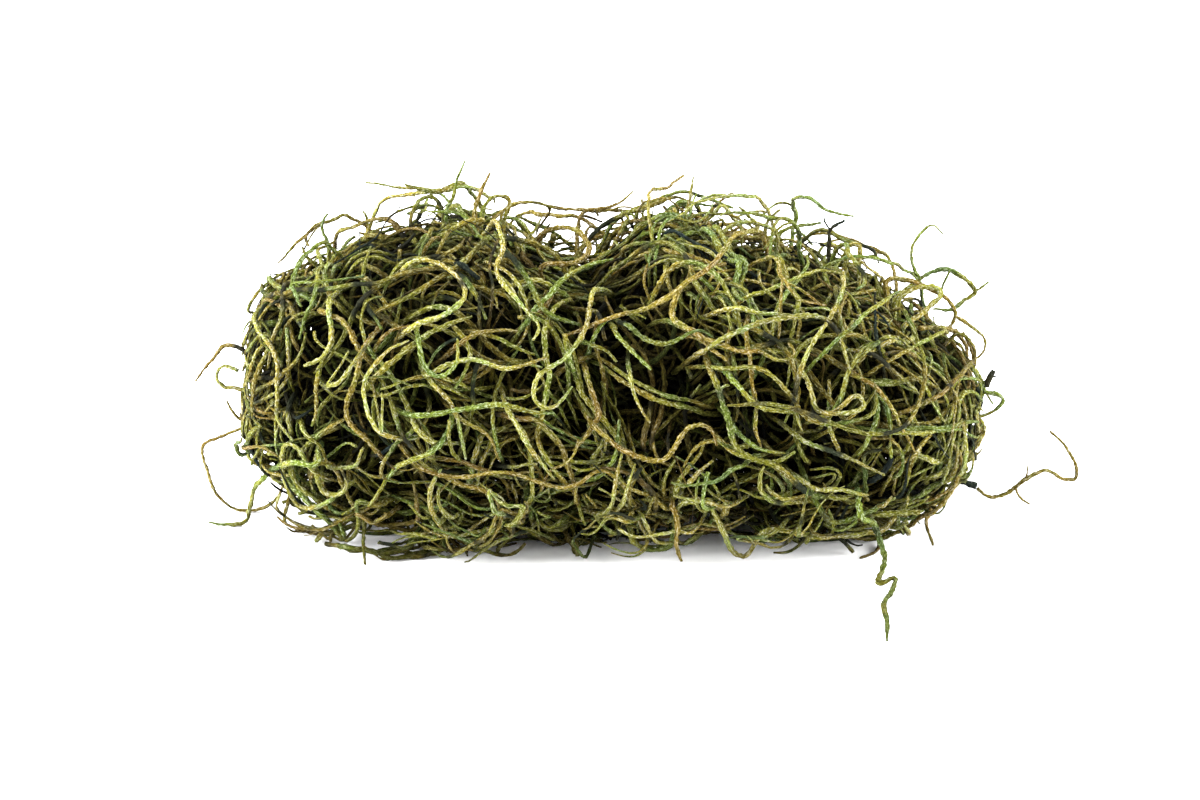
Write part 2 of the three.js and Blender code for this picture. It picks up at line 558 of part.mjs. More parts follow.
// Strands of their own, first those laid by hand
const strays = STRAYS.map((strand) => {
  const { name, colour, thin = false, rooted = true, forks = [] } = strand;
  const { radius = thin ? THIN_R : STRAY_R, tip = thin ? THIN_TIP : TIP } = strand;
  const main = { points: throughSpace(strand), radius, tip };
  const twigs = forks.map((fork) => ({ points: fork.map(seen), radius: THIN_R, tip: THIN_TIP }));
  return { name, colour, rooted, form: STRAY_FORM, parts: [main, ...twigs] };
});
const taken = strays.flatMap(({ parts }) => parts.map(({ points }) => evenly(points)));
const laidByHand = [...FRONT_STRANDS, ...EDGE_STRANDS].map(throughSpace);

const draw = draws(SEED);
const keptClear = laidByHand.map((points) => evenly(points));
for (let n = 1; n <= LOOSE; n += 1) {
  const points = wanderClear(draw, LOOSE_WAY, [...taken, ...keptClear]);
  const colour = LOOSE_COLOURS[n % LOOSE_COLOURS.length];
  taken.push(evenly(points));
  strays.push({
    name: `strand_loose_${n}`,
    colour,
    rooted: true,
    form: LOOSE_FORM,
    parts: [{ points, radius: STRAY_R, tip: TIP }],
  });
}

// A strand of its own as it is kept. One that isn't rooted is seated on its neighbours, so it
// is cut back to clear them.
function standingClear(stray) {
  const solid = strandSolid(stray);
  if (stray.rooted) return solid;
  const others = strays.filter((other) => other !== stray);
  return largest(solid.subtract(joined(others.map((other) => strandSolid(other, CLEAR)))));
}

// The tangle: the heart with its strands, less a hole for each strand of its own
const fused = [...laidByHand];
for (let n = 0; n < BACK_FUSED; n += 1) fused.push(wanderClear(draw, BACK_WAY, taken));
for (let n = 0; n < FRONT_FUSED; n += 1) fused.push(wanderClear(draw, FRONT_WAY, taken));
const rods = fused.map((points) =>
  solidOf(strandGeometry({ points, radius: FUSED_R, tip: TIP }, FUSED_FORM)),
);
const holes = joined(strays.map((stray) => strandSolid(stray, CLEAR)));
const tangle = largest(joined([solidOf(heartGeometry()), ...rods]).subtract(holes));

const group = new THREE.Group();
group.add(meshOf("moss_tangle", tangle, "moss"));
for (const stray of strays) group.add(meshOf(stray.name, standingClear(stray), stray.colour));

export default group;
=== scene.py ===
"""The looks of a bunch of dried, dyed Spanish moss that lies on a pale floor.

The bunch is woven strand by strand. Strands that the front view shows one by one are laid from
listed points, on the bunch's outline, and the others are laid at random with seeded draws. Most
strands near the surface are pushed in under those that lie there already. Lengths in the shape
code are in millimetres, and meshes are in metres.
"""

import math

import bmesh
import bpy
import numpy as np
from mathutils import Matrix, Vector, noise


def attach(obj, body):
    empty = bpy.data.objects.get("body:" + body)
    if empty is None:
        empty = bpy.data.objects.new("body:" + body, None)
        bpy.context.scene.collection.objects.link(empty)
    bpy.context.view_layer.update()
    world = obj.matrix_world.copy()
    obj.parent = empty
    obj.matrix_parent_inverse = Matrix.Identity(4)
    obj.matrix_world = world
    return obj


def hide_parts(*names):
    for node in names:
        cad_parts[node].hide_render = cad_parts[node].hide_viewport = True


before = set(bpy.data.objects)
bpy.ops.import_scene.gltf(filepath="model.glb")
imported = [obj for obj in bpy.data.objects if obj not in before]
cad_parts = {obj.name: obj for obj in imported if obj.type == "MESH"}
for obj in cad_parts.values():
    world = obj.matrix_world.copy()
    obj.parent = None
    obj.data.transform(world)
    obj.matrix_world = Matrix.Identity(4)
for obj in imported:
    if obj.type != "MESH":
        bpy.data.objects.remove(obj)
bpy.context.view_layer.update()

MM = 0.001

# The bunch's outline along X: x, underside, crest and half depth
OUTLINE = [
    (-82, 20, 26, 2),
    (-80, 12, 41, 14),
    (-75, 6, 52, 25),
    (-66, 2, 60, 34),
    (-51, 0, 68, 41),
    (-35, 0, 70, 44),
    (-20, 0, 67, 44),
    (-6, 0, 62, 42),
    (7, 0, 67, 43),
    (18, 3, 69, 45),
    (37, 0, 65, 45),
    (55, 1, 58, 42),
    (68, 5, 48, 34),
    (76, 11, 39, 24),
    (81, 18, 31, 13),
    (83, 23, 26, 2),
]
LEFT_END = OUTLINE[0][0]
RIGHT_END = OUTLINE[-1][0]
MIDDLE_X = (LEFT_END + RIGHT_END) / 2

# How square its sections are, and how far past an end the level grows by 1
SQUARENESS = 2.4
BEYOND_END = 20

# Lumps of the bunch's surface: how far they change the level, and their size
LUMPS, LUMP_SIZE = 0.14, 13

# The size of the swirls that strands lie in, and of the patches of one dye, with their strength
FLOW_SIZE = 30
DYE_PATCH, DYE_DRIFT = 26, 0.4

# How a strand's root goes in under the others: how far along, and how much lower
LEAD_IN = [(3, 0.07), (6.5, 0.18), (10, 0.32)]

# The foot of the bunch is darkened by painted shade below this height, as if it lay this much
# deeper
SHADED_BELOW, SHADED_BY = 18, 0.17

# Painted light and shade by how a strand lies: the most that its level counts as, the least that
# it counts as at an end of the bunch, which is painted lit, and the distance over which that
# least falls by 1
OUTERMOST = 1.04
AT_END, END_FADE = 1.02, 40

# The frame's own strands: their radii, the room between them, how many there are, and their seed
FUSED_R = 0.95
STRAY_R = 0.8
APART = 1.1
BACK_FUSED = 42
FRONT_FUSED = 8
LOOSE = 34
SEED = 17

# The finer strands: their seed, and the radii of those that stand clear, of the thin ones among
# them, of their forks, of the loose ones, of the tangle's and of hairs
FINE_SEED = 5
CLEAR_R = 0.64
THIN_R = 0.48
FORK_R = 0.45
LOOSE_R = 0.5
FINE_R = 0.54
HAIR_R = 0.2

# How thick a strand of a pair and a side leaf are beside the strand that they go with
PAIR_SHARE = 0.9
LEAF_SHARE, LOOSE_LEAF_SHARE = 0.7, 0.75

# How thin a tip ends, how far a strand's corners stand in and out, and its small waves
SHARP, BLUNT = 0.45, 0.85
ROUGH = 0.3
WOBBLE, WOBBLE_LENGTH = 0.42, 5.0

# A course with fewer points isn't laid: a strand's, and a side leaf's
FEWEST, FEWEST_OF_LEAF = 6, 4

# The tangle's pieces are split into front and back at this depth
FRONT_BEFORE = -6

# How many points a smooth curve is measured by
CURVE_POINTS = 201

# How a strand grows: its step, the heart that it roots in, and how it bends, sways, comes to its
# level, ends and climbs
GROW_STEP = 1.5
HEART = 0.78
HEART_LENGTH = 0.9
ROOT_LEVEL = 0.82
ROOT_ROOM = 20
SIDEWAYS_BEND = 0.05
RISE_LENGTH = 19
SETTLES_BY = 9
TIP_SHARE = 0.3
TIP_DIP = 0.1
CLIMB_OVER, STEEPEST = 5, 0.75

# How the front view sees the bunch
VIEW_TILT = math.radians(18)
VIEW_DISTANCE = 623
VIEW_MIDDLE = (-2.6, 0, 25.2)

# Strands in the front, as the front view shows them: dye, level of the outline, whether both
# ends go in, and points across and up from the view's middle
FRONT_STRANDS = [
    ("green", 1.0, False, [(-62, 29), (-62.5, 24), (-63, 21), (-65, 17.5), (-66.5, 13.5)]),
    ("pale", 1.02, False, [(-60, 21), (-59, 16), (-59, 12), (-61, 9.5), (-65, 7.5)]),
    ("pale", 1.0, False, [(-69.5, 25), (-70, 18), (-72, 13.5), (-73, 7)]),
    ("pale", 1.03, False, [(-76, 18), (-74, 13.5), (-71, 9), (-71, 2), (-71, -4), (-67.5, -9)]),
    ("olive", 0.98, False, [(-76, 1.5), (-70.5, 5), (-66, 9.5), (-64.5, 15)]),
    ("pale", 1.04, True, [(-64, -15), (-66, -11), (-69, -9.5), (-70, -13.5), (-69, -19),
                          (-66, -23.5), (-60, -22.5)]),
    ("pale", 1.03, False, [(-62.5, -16.5), (-61, -20), (-57.5, -21), (-55.5, -18), (-57, -15)]),
    ("brown", 1.0, False, [(-63.5, -16.5), (-62, -14), (-59, -15), (-56, -19.5), (-52.5, -25),
                           (-47.5, -27.5), (-41, -27), (-40, -22), (-41, -18)]),
    ("olive", 1.0, False, [(-67, -18), (-60, -23.5), (-54, -28), (-50, -33)]),
    ("brown", 1.02, False, [(-52, 11.5), (-53.5, 5), (-55.5, 0), (-55.5, -4.5), (-51, -9),
                            (-45, -15.5)]),
    ("brown", 0.98, True, [(-61, 19.5), (-55.5, 16), (-53.5, 12)]),
    ("green", 1.0, False, [(-52, 14), (-52.5, 18), (-51, 22), (-48, 22.5)]),
    ("olive", 0.97, False, [(-49.5, 5), (-42, 11.5), (-35, 16), (-28, 18.5)]),
    ("pale", 1.03, True, [(-40, 31), (-34, 29.5), (-30, 25.5), (-30, 22), (-34.5, 18.5),
                          (-40, 17)]),
    ("green", 0.98, False, [(-30, 27), (-27, 22.5), (-25, 17.5)]),
    ("green", 1.03, False, [(-39.5, 10.5), (-38, 6.5), (-35, 5), (-31.5, 8), (-31.5, 13.5)]),
    ("green", 1.02, False, [(-40, -3.5), (-30, -2), (-21.5, -1), (-15, -2.5), (-10, -3)]),
    ("pale", 0.98, False, [(-37, 3.5), (-32.5, -1), (-30.5, -8), (-29.5, -13)]),
    ("pale", 0.99, False, [(-36.5, 6), (-28.5, 9), (-20.5, 7), (-11.5, 9.5)]),
    ("brown", 1.02, False, [(-40, -14.5), (-31, -17), (-20, -16), (-10, -19), (-5, -18.5),
                            (0, -15), (4, -17.5), (8, -23.5), (15, -28)]),
    ("brown", 0.98, False, [(-39, -14), (-31, -18.5), (-24, -20), (-22, -26)]),
    ("pale", 1.0, False, [(-19, -4.5), (-15.5, -10.5), (-10, -17.5)]),
    ("olive", 1.0, False, [(-15, -16), (-15, -21), (-21.5, -29.5)]),
    ("green", 0.98, False, [(-15.5, -24.5), (-9, -28.5), (4.5, -29.5)]),
    ("pale", 1.04, False, [(-23, 39.5), (-21.5, 33), (-23, 28.5), (-19, 23), (-16, 19.5),
                           (-13, 16), (-15, 13)]),
    ("green", 1.0, False, [(-20, 32), (-15.5, 26), (-12.5, 19.5), (-4, 16.5)]),
    ("green", 0.98, False, [(-12.5, 21.5), (-5.5, 28.5), (3, 31)]),
    ("pale", 1.05, False, [(-1.5, 24), (-3.5, 15), (-8, 9), (-13.5, 5.5), (-14.5, 0),
                           (-10.5, -2), (-6, 3)]),
    ("green", 1.02, False, [(6, 16.5), (10.5, 13), (16.5, 13), (22, 15.5), (24.5, 13.5)]),
    ("olive", 1.0, False, [(15, 28.5), (20, 30.5), (24.5, 28.5), (30, 20.5)]),
    ("brown", 0.98, False, [(16.5, 23), (16, 18), (21, 15), (24, 11.5), (28, 8.5)]),
    ("brown", 1.0, False, [(0, -7), (5.5, -11), (13.5, -13.5), (19.5, -6), (24, -6),
                           (25.5, -10)]),
    ("pale", 1.02, True, [(15, -27), (19, -22), (24.5, -23), (29.5, -29)]),
    ("olive", 1.0, False, [(25.5, 3.5), (28, -3), (30, -10.5), (38.5, -14.5), (46.5, -20.5),
                           (59, -22)]),
    ("pale", 1.03, False, [(27, 13.5), (34, 16.5), (44, 18.5), (50.5, 17.5), (53.5, 12),
                           (55, 7)]),
    ("olive", 1.0, False, [(26.5, 7), (35, 7), (41, 2), (46, -4.5), (53.5, -5), (60.5, -2.5),
                           (60.5, 3.5)]),
    ("green", 1.0, False, [(30, 3.5), (35, -1.5), (44, -3)]),
    ("pale", 1.04, True, [(53.5, -1), (56, 1.5), (58.5, -1), (55, -3), (47.5, -2.5),
                          (46.5, 1.5)]),
    ("olive", 0.99, False, [(33, 23), (39.5, 25), (48, 28.5), (53.5, 28)]),
    ("green", 1.04, False, [(53.5, 14.5), (60, 20), (66, 24)]),
    ("green", 1.02, True, [(53, 0), (55, 7), (60.5, 12)]),
    ("pale", 1.0, False, [(60, 10), (65, 6), (69.5, 2), (71.5, -1)]),
    ("brown", 1.01, False, [(62, 1.5), (65.5, -4.5), (69, -11.5)]),
    ("pale", 1.0, False, [(46, -9.5), (54, -12.5), (62.5, -16.5)]),
    ("green", 1.02, False, [(49, -25), (52, -27), (59, -24.5), (65, -21.5)]),
    ("brown", 1.04, False, [(74.5, 1), (80, 6.5), (82, 10.5), (80, 15)]),
]

# Short tips and arcs that show against the light: dye, whether both ends go in, and points
# across, up and deep
EDGE_STRANDS = [
    ("olive", True, [(-41.5, 40.5, 6), (-40, 44, 7), (-37, 45, 8), (-34.5, 41, 7)]),
    ("olive", True, [(-26, 39.5, 3), (-25, 43.5, 4), (-22, 45, 4), (-19.5, 44, 4),
                     (-21, 40, 4)]),
    ("green", False, [(-60, 35, 2), (-61.5, 37.5, 2), (-60, 41, 2)]),
    ("olive", False, [(-62, 29.5, -4), (-64.5, 31, -5), (-65.5, 33.5, -5)]),
    ("pale", False, [(-17, 35, 5), (-15, 37, 5), (-13, 40, 5)]),
    ("pale", True, [(24.5, 34, -3), (28, 38, 0), (34, 39, 2), (39, 36.5, 3)]),
    ("olive", False, [(36.5, 39, 9), (39.5, 42, 9)]),
    ("green", False, [(39, 36.5, 5), (42.5, 38, 5), (48.5, 39, 6)]),
    ("olive", True, [(54.5, 34, 4), (57.5, 34, 4), (57, 31.5, 3)]),
    ("brown", False, [(79, 15, -3), (81.5, 13, -4), (82.5, 11, -4), (82.5, 8, -4)]),
    ("brown", False, [(-78, -5, -8), (-80.5, -3, -8), (-82, 0, -8)]),
    ("olive", False, [(-69, -24, -11), (-69.5, -26.5, -12), (-68, -29, -13)]),
    ("olive", False, [(-52, -33, -34), (-51.5, -36, -37)]),
]

# Finer strands of the front, between those above
FINE_FRONT_STRANDS = [
    ("green", 1.0, False, [(-51, 20), (-49.5, 18), (-48, 15.5)]),
    ("brown", 0.99, False, [(-47.8, 13.8), (-45.8, 15.5), (-42.7, 16), (-39.9, 16.6)]),
    ("pale", 1.02, False, [(-58.7, -15.2), (-56.2, -14.9), (-53.7, -14.7), (-52.8, -12.7),
                           (-52, -10.5)]),
    ("olive", 0.98, False, [(-62.6, 3.3), (-62.4, 0.5), (-62.4, -3.7), (-63.5, -6)]),
    ("olive", 0.99, False, [(-65.2, -11), (-62.4, -8.2), (-59.6, -6), (-56.2, -4.3)]),
    ("dark", 0.99, False, [(-48, -11.9), (-45.5, -9.9), (-42.7, -8.5), (-40.5, -7.4)]),
    ("olive", 1.0, False, [(-64.3, -7.9), (-62.4, -9.3), (-61.2, -11.9), (-60.1, -14.1)]),
    ("brown", 1.02, False, [(-78.4, -10.7), (-73.9, -10.5), (-70.8, -12.4)]),
    ("brown", 1.0, False, [(-29.5, 13.5), (-27, 14.9), (-23.9, 15.5), (-18.3, 15.2)]),
    ("olive", 0.99, False, [(-24.4, 14.3), (-21.4, 12.7), (-18.3, 11.5), (-14.3, 9.9)]),
    ("green", 1.0, False, [(-0.9, 12.1), (1.4, 10.7), (3.6, 8.2)]),
    ("olive", 0.98, False, [(-30.1, 13.8), (-28.4, 11.5), (-28.4, 9), (-32, 2.8)]),
    ("brown", 0.98, False, [(-29.8, -4.8), (-27, -6.2), (-24.4, -7.9), (-21.9, -13.5)]),
    ("pale", 1.02, False, [(-17.2, -14.7), (-15.8, -13.8), (-13.8, -14.1)]),
    ("pale", 1.02, False, [(-30.9, -30.1), (-28.4, -28.4), (-25.6, -26.4), (-22.2, -24.5)]),
    ("brown", 0.99, False, [(-2.3, 3.3), (-1.2, -0.1), (0, -3.1), (-1.4, -6), (-5.9, -11.3)]),
    ("brown", 0.98, False, [(-17.7, -4.3), (-14.9, -4), (-12.4, -6), (-7.9, -11.3), (-7, -14.1),
                            (-5.9, -18), (-4.5, -24.8)]),
    ("green", 1.0, False, [(0, 16), (2.2, 18), (5.6, 19), (8.4, 18.8), (10.1, 18)]),
    ("green", 0.99, False, [(4.2, 14.3), (6.2, 11.8), (8.4, 9), (11.2, 6.5)]),
    ("brown", 1.01, False, [(25.8, 12.7), (28.3, 11.5), (31.4, 10.4), (35.1, 11), (37.3, 9.3),
                            (40.4, 8.7), (42.9, 9.6), (42.7, 11.5), (41.3, 12.4)]),
    ("pale", 0.99, False, [(7, 3.3), (8.1, -0.4), (9.3, -2.9), (10.9, -5.1)]),
    ("olive", 0.98, False, [(28.9, -10.5), (25.3, -9), (22.4, -9.3), (19.6, -12.1),
                            (18.5, -14.7)]),
    ("pale", 1.01, False, [(19.1, -18.9), (21.3, -16.3), (24.7, -13.3)]),
    ("green", 1.0, False, [(31.7, -8.5), (34.5, -10.5), (37.9, -11.3), (40.7, -11.6)]),
    ("olive", 1.0, False, [(30.3, -12.4), (33.7, -13.5), (36.5, -14.1), (39.8, -13.5),
                           (42.9, -11.3)]),
    ("pale", 1.02, False, [(30.9, 20.2), (33.7, 19.1), (39.3, 19.1), (44, 18.5)]),
    ("green", 1.03, False, [(52.8, 0.1), (53.9, 4.3), (55.3, 7.7), (57.6, 11.4)]),
    ("olive", 1.02, False, [(69.3, 11.9), (72.2, 13.3), (75.9, 15.3), (77.2, 15.8)]),
    ("brown", 1.03, False, [(76.4, 15.8), (78.9, 14.7), (80.3, 12.8), (80.9, 9.4)]),
    ("green", 1.02, False, [(53.9, 34.4), (55, 31.5), (58.1, 27.6), (58.1, 25.4),
                            (56.4, 24.3)]),
    ("green", 1.02, False, [(68.5, -7.4), (73.3, -7.1), (77.5, -6.5), (80.3, -6.5)]),
    ("green", 1.03, False, [(76.1, -6), (79.7, -5.1), (83.1, -4.7)]),
    ("pale", 1.0, False, [(47.7, -19.7), (51.7, -19.6), (55.3, -20), (59, -21.7)]),
    ("olive", 1.0, False, [(66.5, -15.2), (66.8, -12.4), (65.7, -10.2), (63.7, -8.5)]),
    ("green", 1.0, False, [(60.4, -5.7), (59.2, -8.2), (58.1, -10.7), (56.7, -12.7)]),
    ("olive", 1.0, False, [(71.3, 3.3), (73.3, -0.9), (76.1, -5.7)]),
]

# Strands that stand clear, by their node's name. A point of three numbers is across, up and
# deep, and one of two lies on the strand's level. Forks grow out of a strand, tip is how thin it
# ends, and with both its two ends go in. One that isn't rooted starts on another strand.
STRAYS = {
    "strand_left_curl": dict(dye="brown", route=[
        (-77, 9, -9), (-79, 11.5, -9), (-82.5, 12, -9), (-85.5, 8.5, -9), (-89, 4, -9)]),
    "strand_left_loop": dict(dye="pale", radius=0.55, tip=0.8, route=[
        (-77, 2, -2), (-80, 2.5, -2), (-83, 3, -2), (-84.5, 5.5, -2), (-82.5, 7.5, -3),
        (-79.5, 6.5, -4)]),
    "strand_left_low_loop": dict(dye="brown", radius=THIN_R, both=True, route=[
        (-79, -6.5, -1), (-83, -8, -2), (-87, -9.5, -3), (-87.5, -12, -3), (-86, -16, -4),
        (-84, -21, -4), (-80, -24, -3.5), (-75, -24, -3), (-71, -21.5, -3)]),
    "strand_left_low_green": dict(dye="green", level=1.12, route=[
        (-62.5, -14), (-67.5, -14), (-72, -15.5, -21), (-75.5, -19, -15), (-77, -23.5, -12),
        (-77.5, -26.5, -11.5), (-80.5, -27.5, -12.5), (-86, -27, -12)]),
    "spike_crest_left": dict(dye="green", radius=THIN_R, route=[
        (-33.5, 42.5, 5), (-32.5, 44.5, 5), (-31.5, 48, 5), (-29.5, 52.5, 5)]),
    "spike_crest_left_short": dict(dye="brown", route=[
        (-27.5, 42, 1), (-26.5, 45, 1), (-25.5, 47, 1), (-24, 50, 1)]),
    "strand_crest_hook": dict(dye="brown", both=True, route=[
        (-14, 34, 8), (-12, 37, 7), (-8.5, 38, 5), (-5, 37.5, 3), (-3, 35, -1), (-2.5, 33, -5),
        (-4, 31, -10), (-8, 30, -15), (-12.5, 29.5, -17)]),
    "spike_crest_right": dict(dye="pale", radius=THIN_R, route=[
        (19, 40, 6), (19.5, 44, 6), (20.5, 49, 6)]),
    "wisp_crest_right": dict(dye="pale", radius=THIN_R, both=True, route=[
        (23, 38, 10), (25, 41, 10), (27, 43, 10), (28, 41.5, 10), (31, 38, 10)]),
    "twig_crest_dark": dict(dye="dark", route=[
        (50.5, 35.5, 8), (50.5, 37.5, 8), (52, 38.5, 8), (54, 39.4, 8)],
        forks=[[(50.5, 37.5, 8), (49.5, 39, 8), (49.3, 40, 8)]]),
    "spray_right_high": dict(dye="green", route=[
        (66, 23, 3), (70.5, 26.5, 3), (73, 28, 3), (77, 28.5, 3), (80.5, 26.5, 3), (82.5, 24, 3),
        (80, 22, 3), (77, 20, 3), (73, 20, 3)],
        forks=[[(70.5, 26.5, 3), (69, 29, 3), (68.5, 33, 3), (70, 36, 3), (73, 38.5, 3),
                (75.5, 36.5, 3)],
               [(82, 23.5, 3), (83.5, 24.5, 3), (85.5, 26, 3)],
               [(77, 28.5, 3), (75.5, 25.5, 3), (74.5, 22.5, 3)]]),
    "strand_right_bow": dict(dye="brown", route=[
        (63.5, 26.5, -3), (68.5, 26, -3), (72, 24.5, -3), (75.5, 23, -3), (77.5, 21, -3),
        (78, 18.5, -3), (76.5, 16, -3), (74.5, 14.5, -4)],
        forks=[[(78, 18.5, -3), (80.5, 17, -3), (82.5, 15.5, -3), (84.5, 13.5, -3),
                (84.5, 11, -3), (82.5, 9, -3), (80, 8.5, -3)]]),
    "strand_right_fold": dict(dye="pale", both=True, route=[
        (65, 22, -8), (68, 24, -8), (71, 25, -8), (74, 24.5, -8.5), (75, 23, -9.5),
        (73, 21, -11), (70, 18.5, -13), (67, 16.5, -15)]),
    "spray_right_low": dict(dye="green", route=[
        (78, 11, 2), (81, 8.5, 2), (84, 4, 2), (84.5, 2, 2), (87, 1.5, 2), (88.5, 0.5, 2),
        (87, -2, 2), (84, -3.5, 2), (80, -4, 2)],
        forks=[[(84.5, 2, 2), (82.5, 2.5, 3), (81.5, 2, 5)],
               [(84.5, 2, 2), (85.5, 0.5, 3.5), (86.5, -1, 4.5)],
               [(84.5, 2, 2), (83.5, -1, 0.5), (83.5, -2.5, -1)]]),
    "sheath_right_dark": dict(dye="dark", rooted=False, radius=1, tip=0.5, route=[
        (84.8, 3, 2), (85.5, 5, 2), (86.7, 6.7, 2)],
        forks=[[(85.3, 4.5, 2), (86.2, 5.2, 2.5), (87.4, 5, 3)]]),
    "strand_right_hook": dict(dye="pale", both=True, route=[
        (78, -3.5, -5), (82, -4, -5), (84, -5.5, -5), (83, -9, -5), (81, -11.5, -5),
        (78.5, -12, -5)]),
    "stem_right_dark": dict(dye="dark", radius=1, tip=1, route=[
        (72, -15.5, 2), (76, -16.5, 2), (79, -17.7, 2), (82.6, -19, 2)]),
    "tendril_right": dict(dye="brown", rooted=False, radius=0.55, tip=0.55, route=[
        (83, -19.3, 2), (86, -21.5, 2), (89, -20.5, 2), (93.5, -17.5, 2), (98, -15.5, 2),
        (102, -17.5, 2), (104.5, -17.5, 2), (104.5, -14, 2), (102, -10, 2), (99, -7, 2)],
        forks=[[(93.5, -17.5, 2), (94, -15.8, 2), (94, -14.5, 2)],
               [(91.3, -19, 2), (92, -21, 1), (94.5, -23, 1)]]),
    "strand_right_hanging": dict(dye="brown", route=[
        (74.5, -17, -11), (74.5, -19, -14), (73.5, -22.5, -18), (72, -26.5, -22),
        (73, -32, -25)]),
    "strand_front_trailing": dict(dye="green", level=1.12, route=[
        (57.5, -25.5), (60.5, -27.5, -34), (61.5, -31, -36), (62.5, -34.5, -38),
        (61.5, -40.5, -48.5), (65, -39, -46.5), (64.5, -41, -49.5), (62.5, -46, -58),
        (63, -51, -68), (63, -55, -77.5)]),
    "strand_front_wave": dict(dye="pale", both=True, route=[
        (18, -23, -37), (21, -22, -38), (24, -23, -38.5), (27, -28, -38), (29.5, -33, -36.5),
        (32, -34, -35.5), (34, -32, -35.5), (37, -28.5, -36), (41, -28.5, -36),
        (47, -30, -35.5), (55, -29.5, -33.5), (62, -28, -31.5), (67, -23.5, -30),
        (72, -19.5, -27), (78, -16.5, -20), (80, -13.5, -17), (78, -10.5, -16),
        (73.5, -12, -19)]),
    "loop_front_low": dict(dye="green", both=True, route=[
        (7, -30, -33), (9, -32.5, -32.5), (12, -33, -32), (15, -32, -32), (16.5, -28.5, -33)]),
    "prong_front_low": dict(dye="brown", route=[
        (16, -24, -39.5), (17, -28, -40), (17, -32, -40), (18, -35.5, -39.5)]),
}

# Where strands are laid at random: their span along X, angles round the bunch, 0 being the
# back and 90 the top, the levels that they run on, their lengths, how far a tip lifts, how
# they curl, and how far their heading strays from the bunch's length
BACK_WAY = dict(span=(-73, 74), start=-50, end=132, low=0.92, high=1.04, shortest=34,
                longest=86, root=0.69, lift=0.1, radius=FUSED_R, rise=0.03,
                curl=(0.03, 0.075), wave=(26, 34), spread=1.5)
FRONT_WAY = dict(BACK_WAY, start=132, end=232, low=0.88, high=0.98)
LOOSE_WAY = dict(BACK_WAY, start=-50, end=205, low=1.08, high=1.13, longest=74, root=0.64,
                 lift=0.07, radius=STRAY_R)
LOOSE_DYES = ["brown", "green", "pale", "green", "brown"]

# How a side leaf of a loose strand grows, how many there are, how far they dip, and how much
# stronger a loose strand's small waves are
LEAF_PLAN = dict(rise=0.0, phase=0.0, curl=0.09, wave=18, bend=0)
LOOSE_LEAVES, LOOSE_LEAN = 2, -0.2
LOOSE_WAVES = 1.9

# The fine strands that fill the bunch, roughly from the outside in, and then more at the right
# foot: how many, their way, the sides and the length of one stretch of their tubes, and whether
# the ones that lie there push them in. Only those that are pushed have pairs and side leaves.
FINE = dict(BACK_WAY, span=(-79, 80), shortest=18, longest=60, lift=0.12, rise=0.04,
            curl=(0.035, 0.12), wave=(16, 38), flow=0.45, room=3, pairs=0.42)
TOP = dict(FINE, start=60, end=132)
BACK = dict(FINE, start=-60, end=60)
FRONT = dict(FINE, start=132, end=236)
FOOT = dict(FINE, span=(-59, 4), start=220, end=250, lift=0.03, rise=0.02, shortest=14,
            longest=34, root=0.92, spread=3.1, flow=0)
RIGHT_FOOT = dict(FOOT, span=(6, 68), start=222, end=250)
LEFT_TIP = dict(FINE, span=(-86, -66), start=-60, end=300, room=1.5, lift=0.2, flow=0,
                spread=3.1)
RIGHT_TIP = dict(LEFT_TIP, span=(64, 82), room=5)
TIPS = dict(FINE, start=-60, end=215, shortest=10, longest=24, root=0.86, lift=0.18,
            spread=3.1, flow=0, pairs=0)
LAYERS = [
    (24, dict(FRONT, low=0.97, high=1.03, lift=0.14), 6, 0.7, True),
    (22, dict(TOP, low=0.96, high=1.02, lift=0.14), 6, 0.9, True),
    (36, dict(BACK, low=0.98, high=1.05, lift=0.14), 5, 1.0, True),
    (44, dict(LEFT_TIP, low=0.84, high=0.98), 5, 0.9, True),
    (44, dict(RIGHT_TIP, low=0.84, high=0.98), 5, 0.9, True),
    (110, dict(TIPS, low=0.94, high=1.01), 5, 0.8, True),
    (40, dict(TIPS, span=(62, 80), end=300, low=0.92, high=1.0, lift=0.3), 5, 0.9, True),
    (24, dict(TIPS, span=(-80, -64), end=300, low=0.92, high=1.0, lift=0.3), 5, 0.9, True),
    (84, dict(FOOT, low=1.09, high=1.2), 5, 1.0, True),
    (70, dict(FOOT, low=0.98, high=1.1), 4, 1.3, True),
    (60, dict(RIGHT_FOOT, low=1.04, high=1.16), 5, 1.0, True),
    (50, dict(RIGHT_FOOT, low=0.96, high=1.05), 4, 1.3, True),
    (55, dict(FOOT, span=(-60, 60), start=-68, end=-38, low=0.97, high=1.12), 4, 1.5, True),
    (70, dict(FRONT, start=196, end=238, low=0.93, high=1.0, spread=0.7, flow=0.15), 5, 0.8,
     True),
    (160, dict(FRONT, low=0.89, high=0.98, longest=50), 5, 0.75, True),
    (84, dict(TOP, low=0.88, high=0.96, longest=50), 5, 1.1, True),
    (110, dict(BACK, low=0.89, high=0.98), 5, 1.5, True),
    (200, dict(FRONT, low=0.81, high=0.90), 4, 1.2, True),
    (105, dict(TOP, low=0.79, high=0.88), 4, 1.5, True),
    (120, dict(BACK, low=0.80, high=0.90), 4, 1.8, True),
    (50, dict(FINE, start=250, end=290, low=0.93, high=1.0, lift=0), 4, 1.6, True),
    (66, dict(LEFT_TIP, low=0.45, high=0.84), 3, 2.0, False),
    (66, dict(RIGHT_TIP, low=0.45, high=0.84), 3, 2.0, False),
    (400, dict(FRONT, low=0.62, high=0.82), 3, 2.1, False),
    (220, dict(TOP, low=0.60, high=0.80), 3, 2.3, False),
    (240, dict(BACK, low=0.62, high=0.82), 3, 2.5, False),
    (44, dict(RIGHT_FOOT, span=(44, 78), low=1.12, high=1.24), 5, 1.0, True),
]

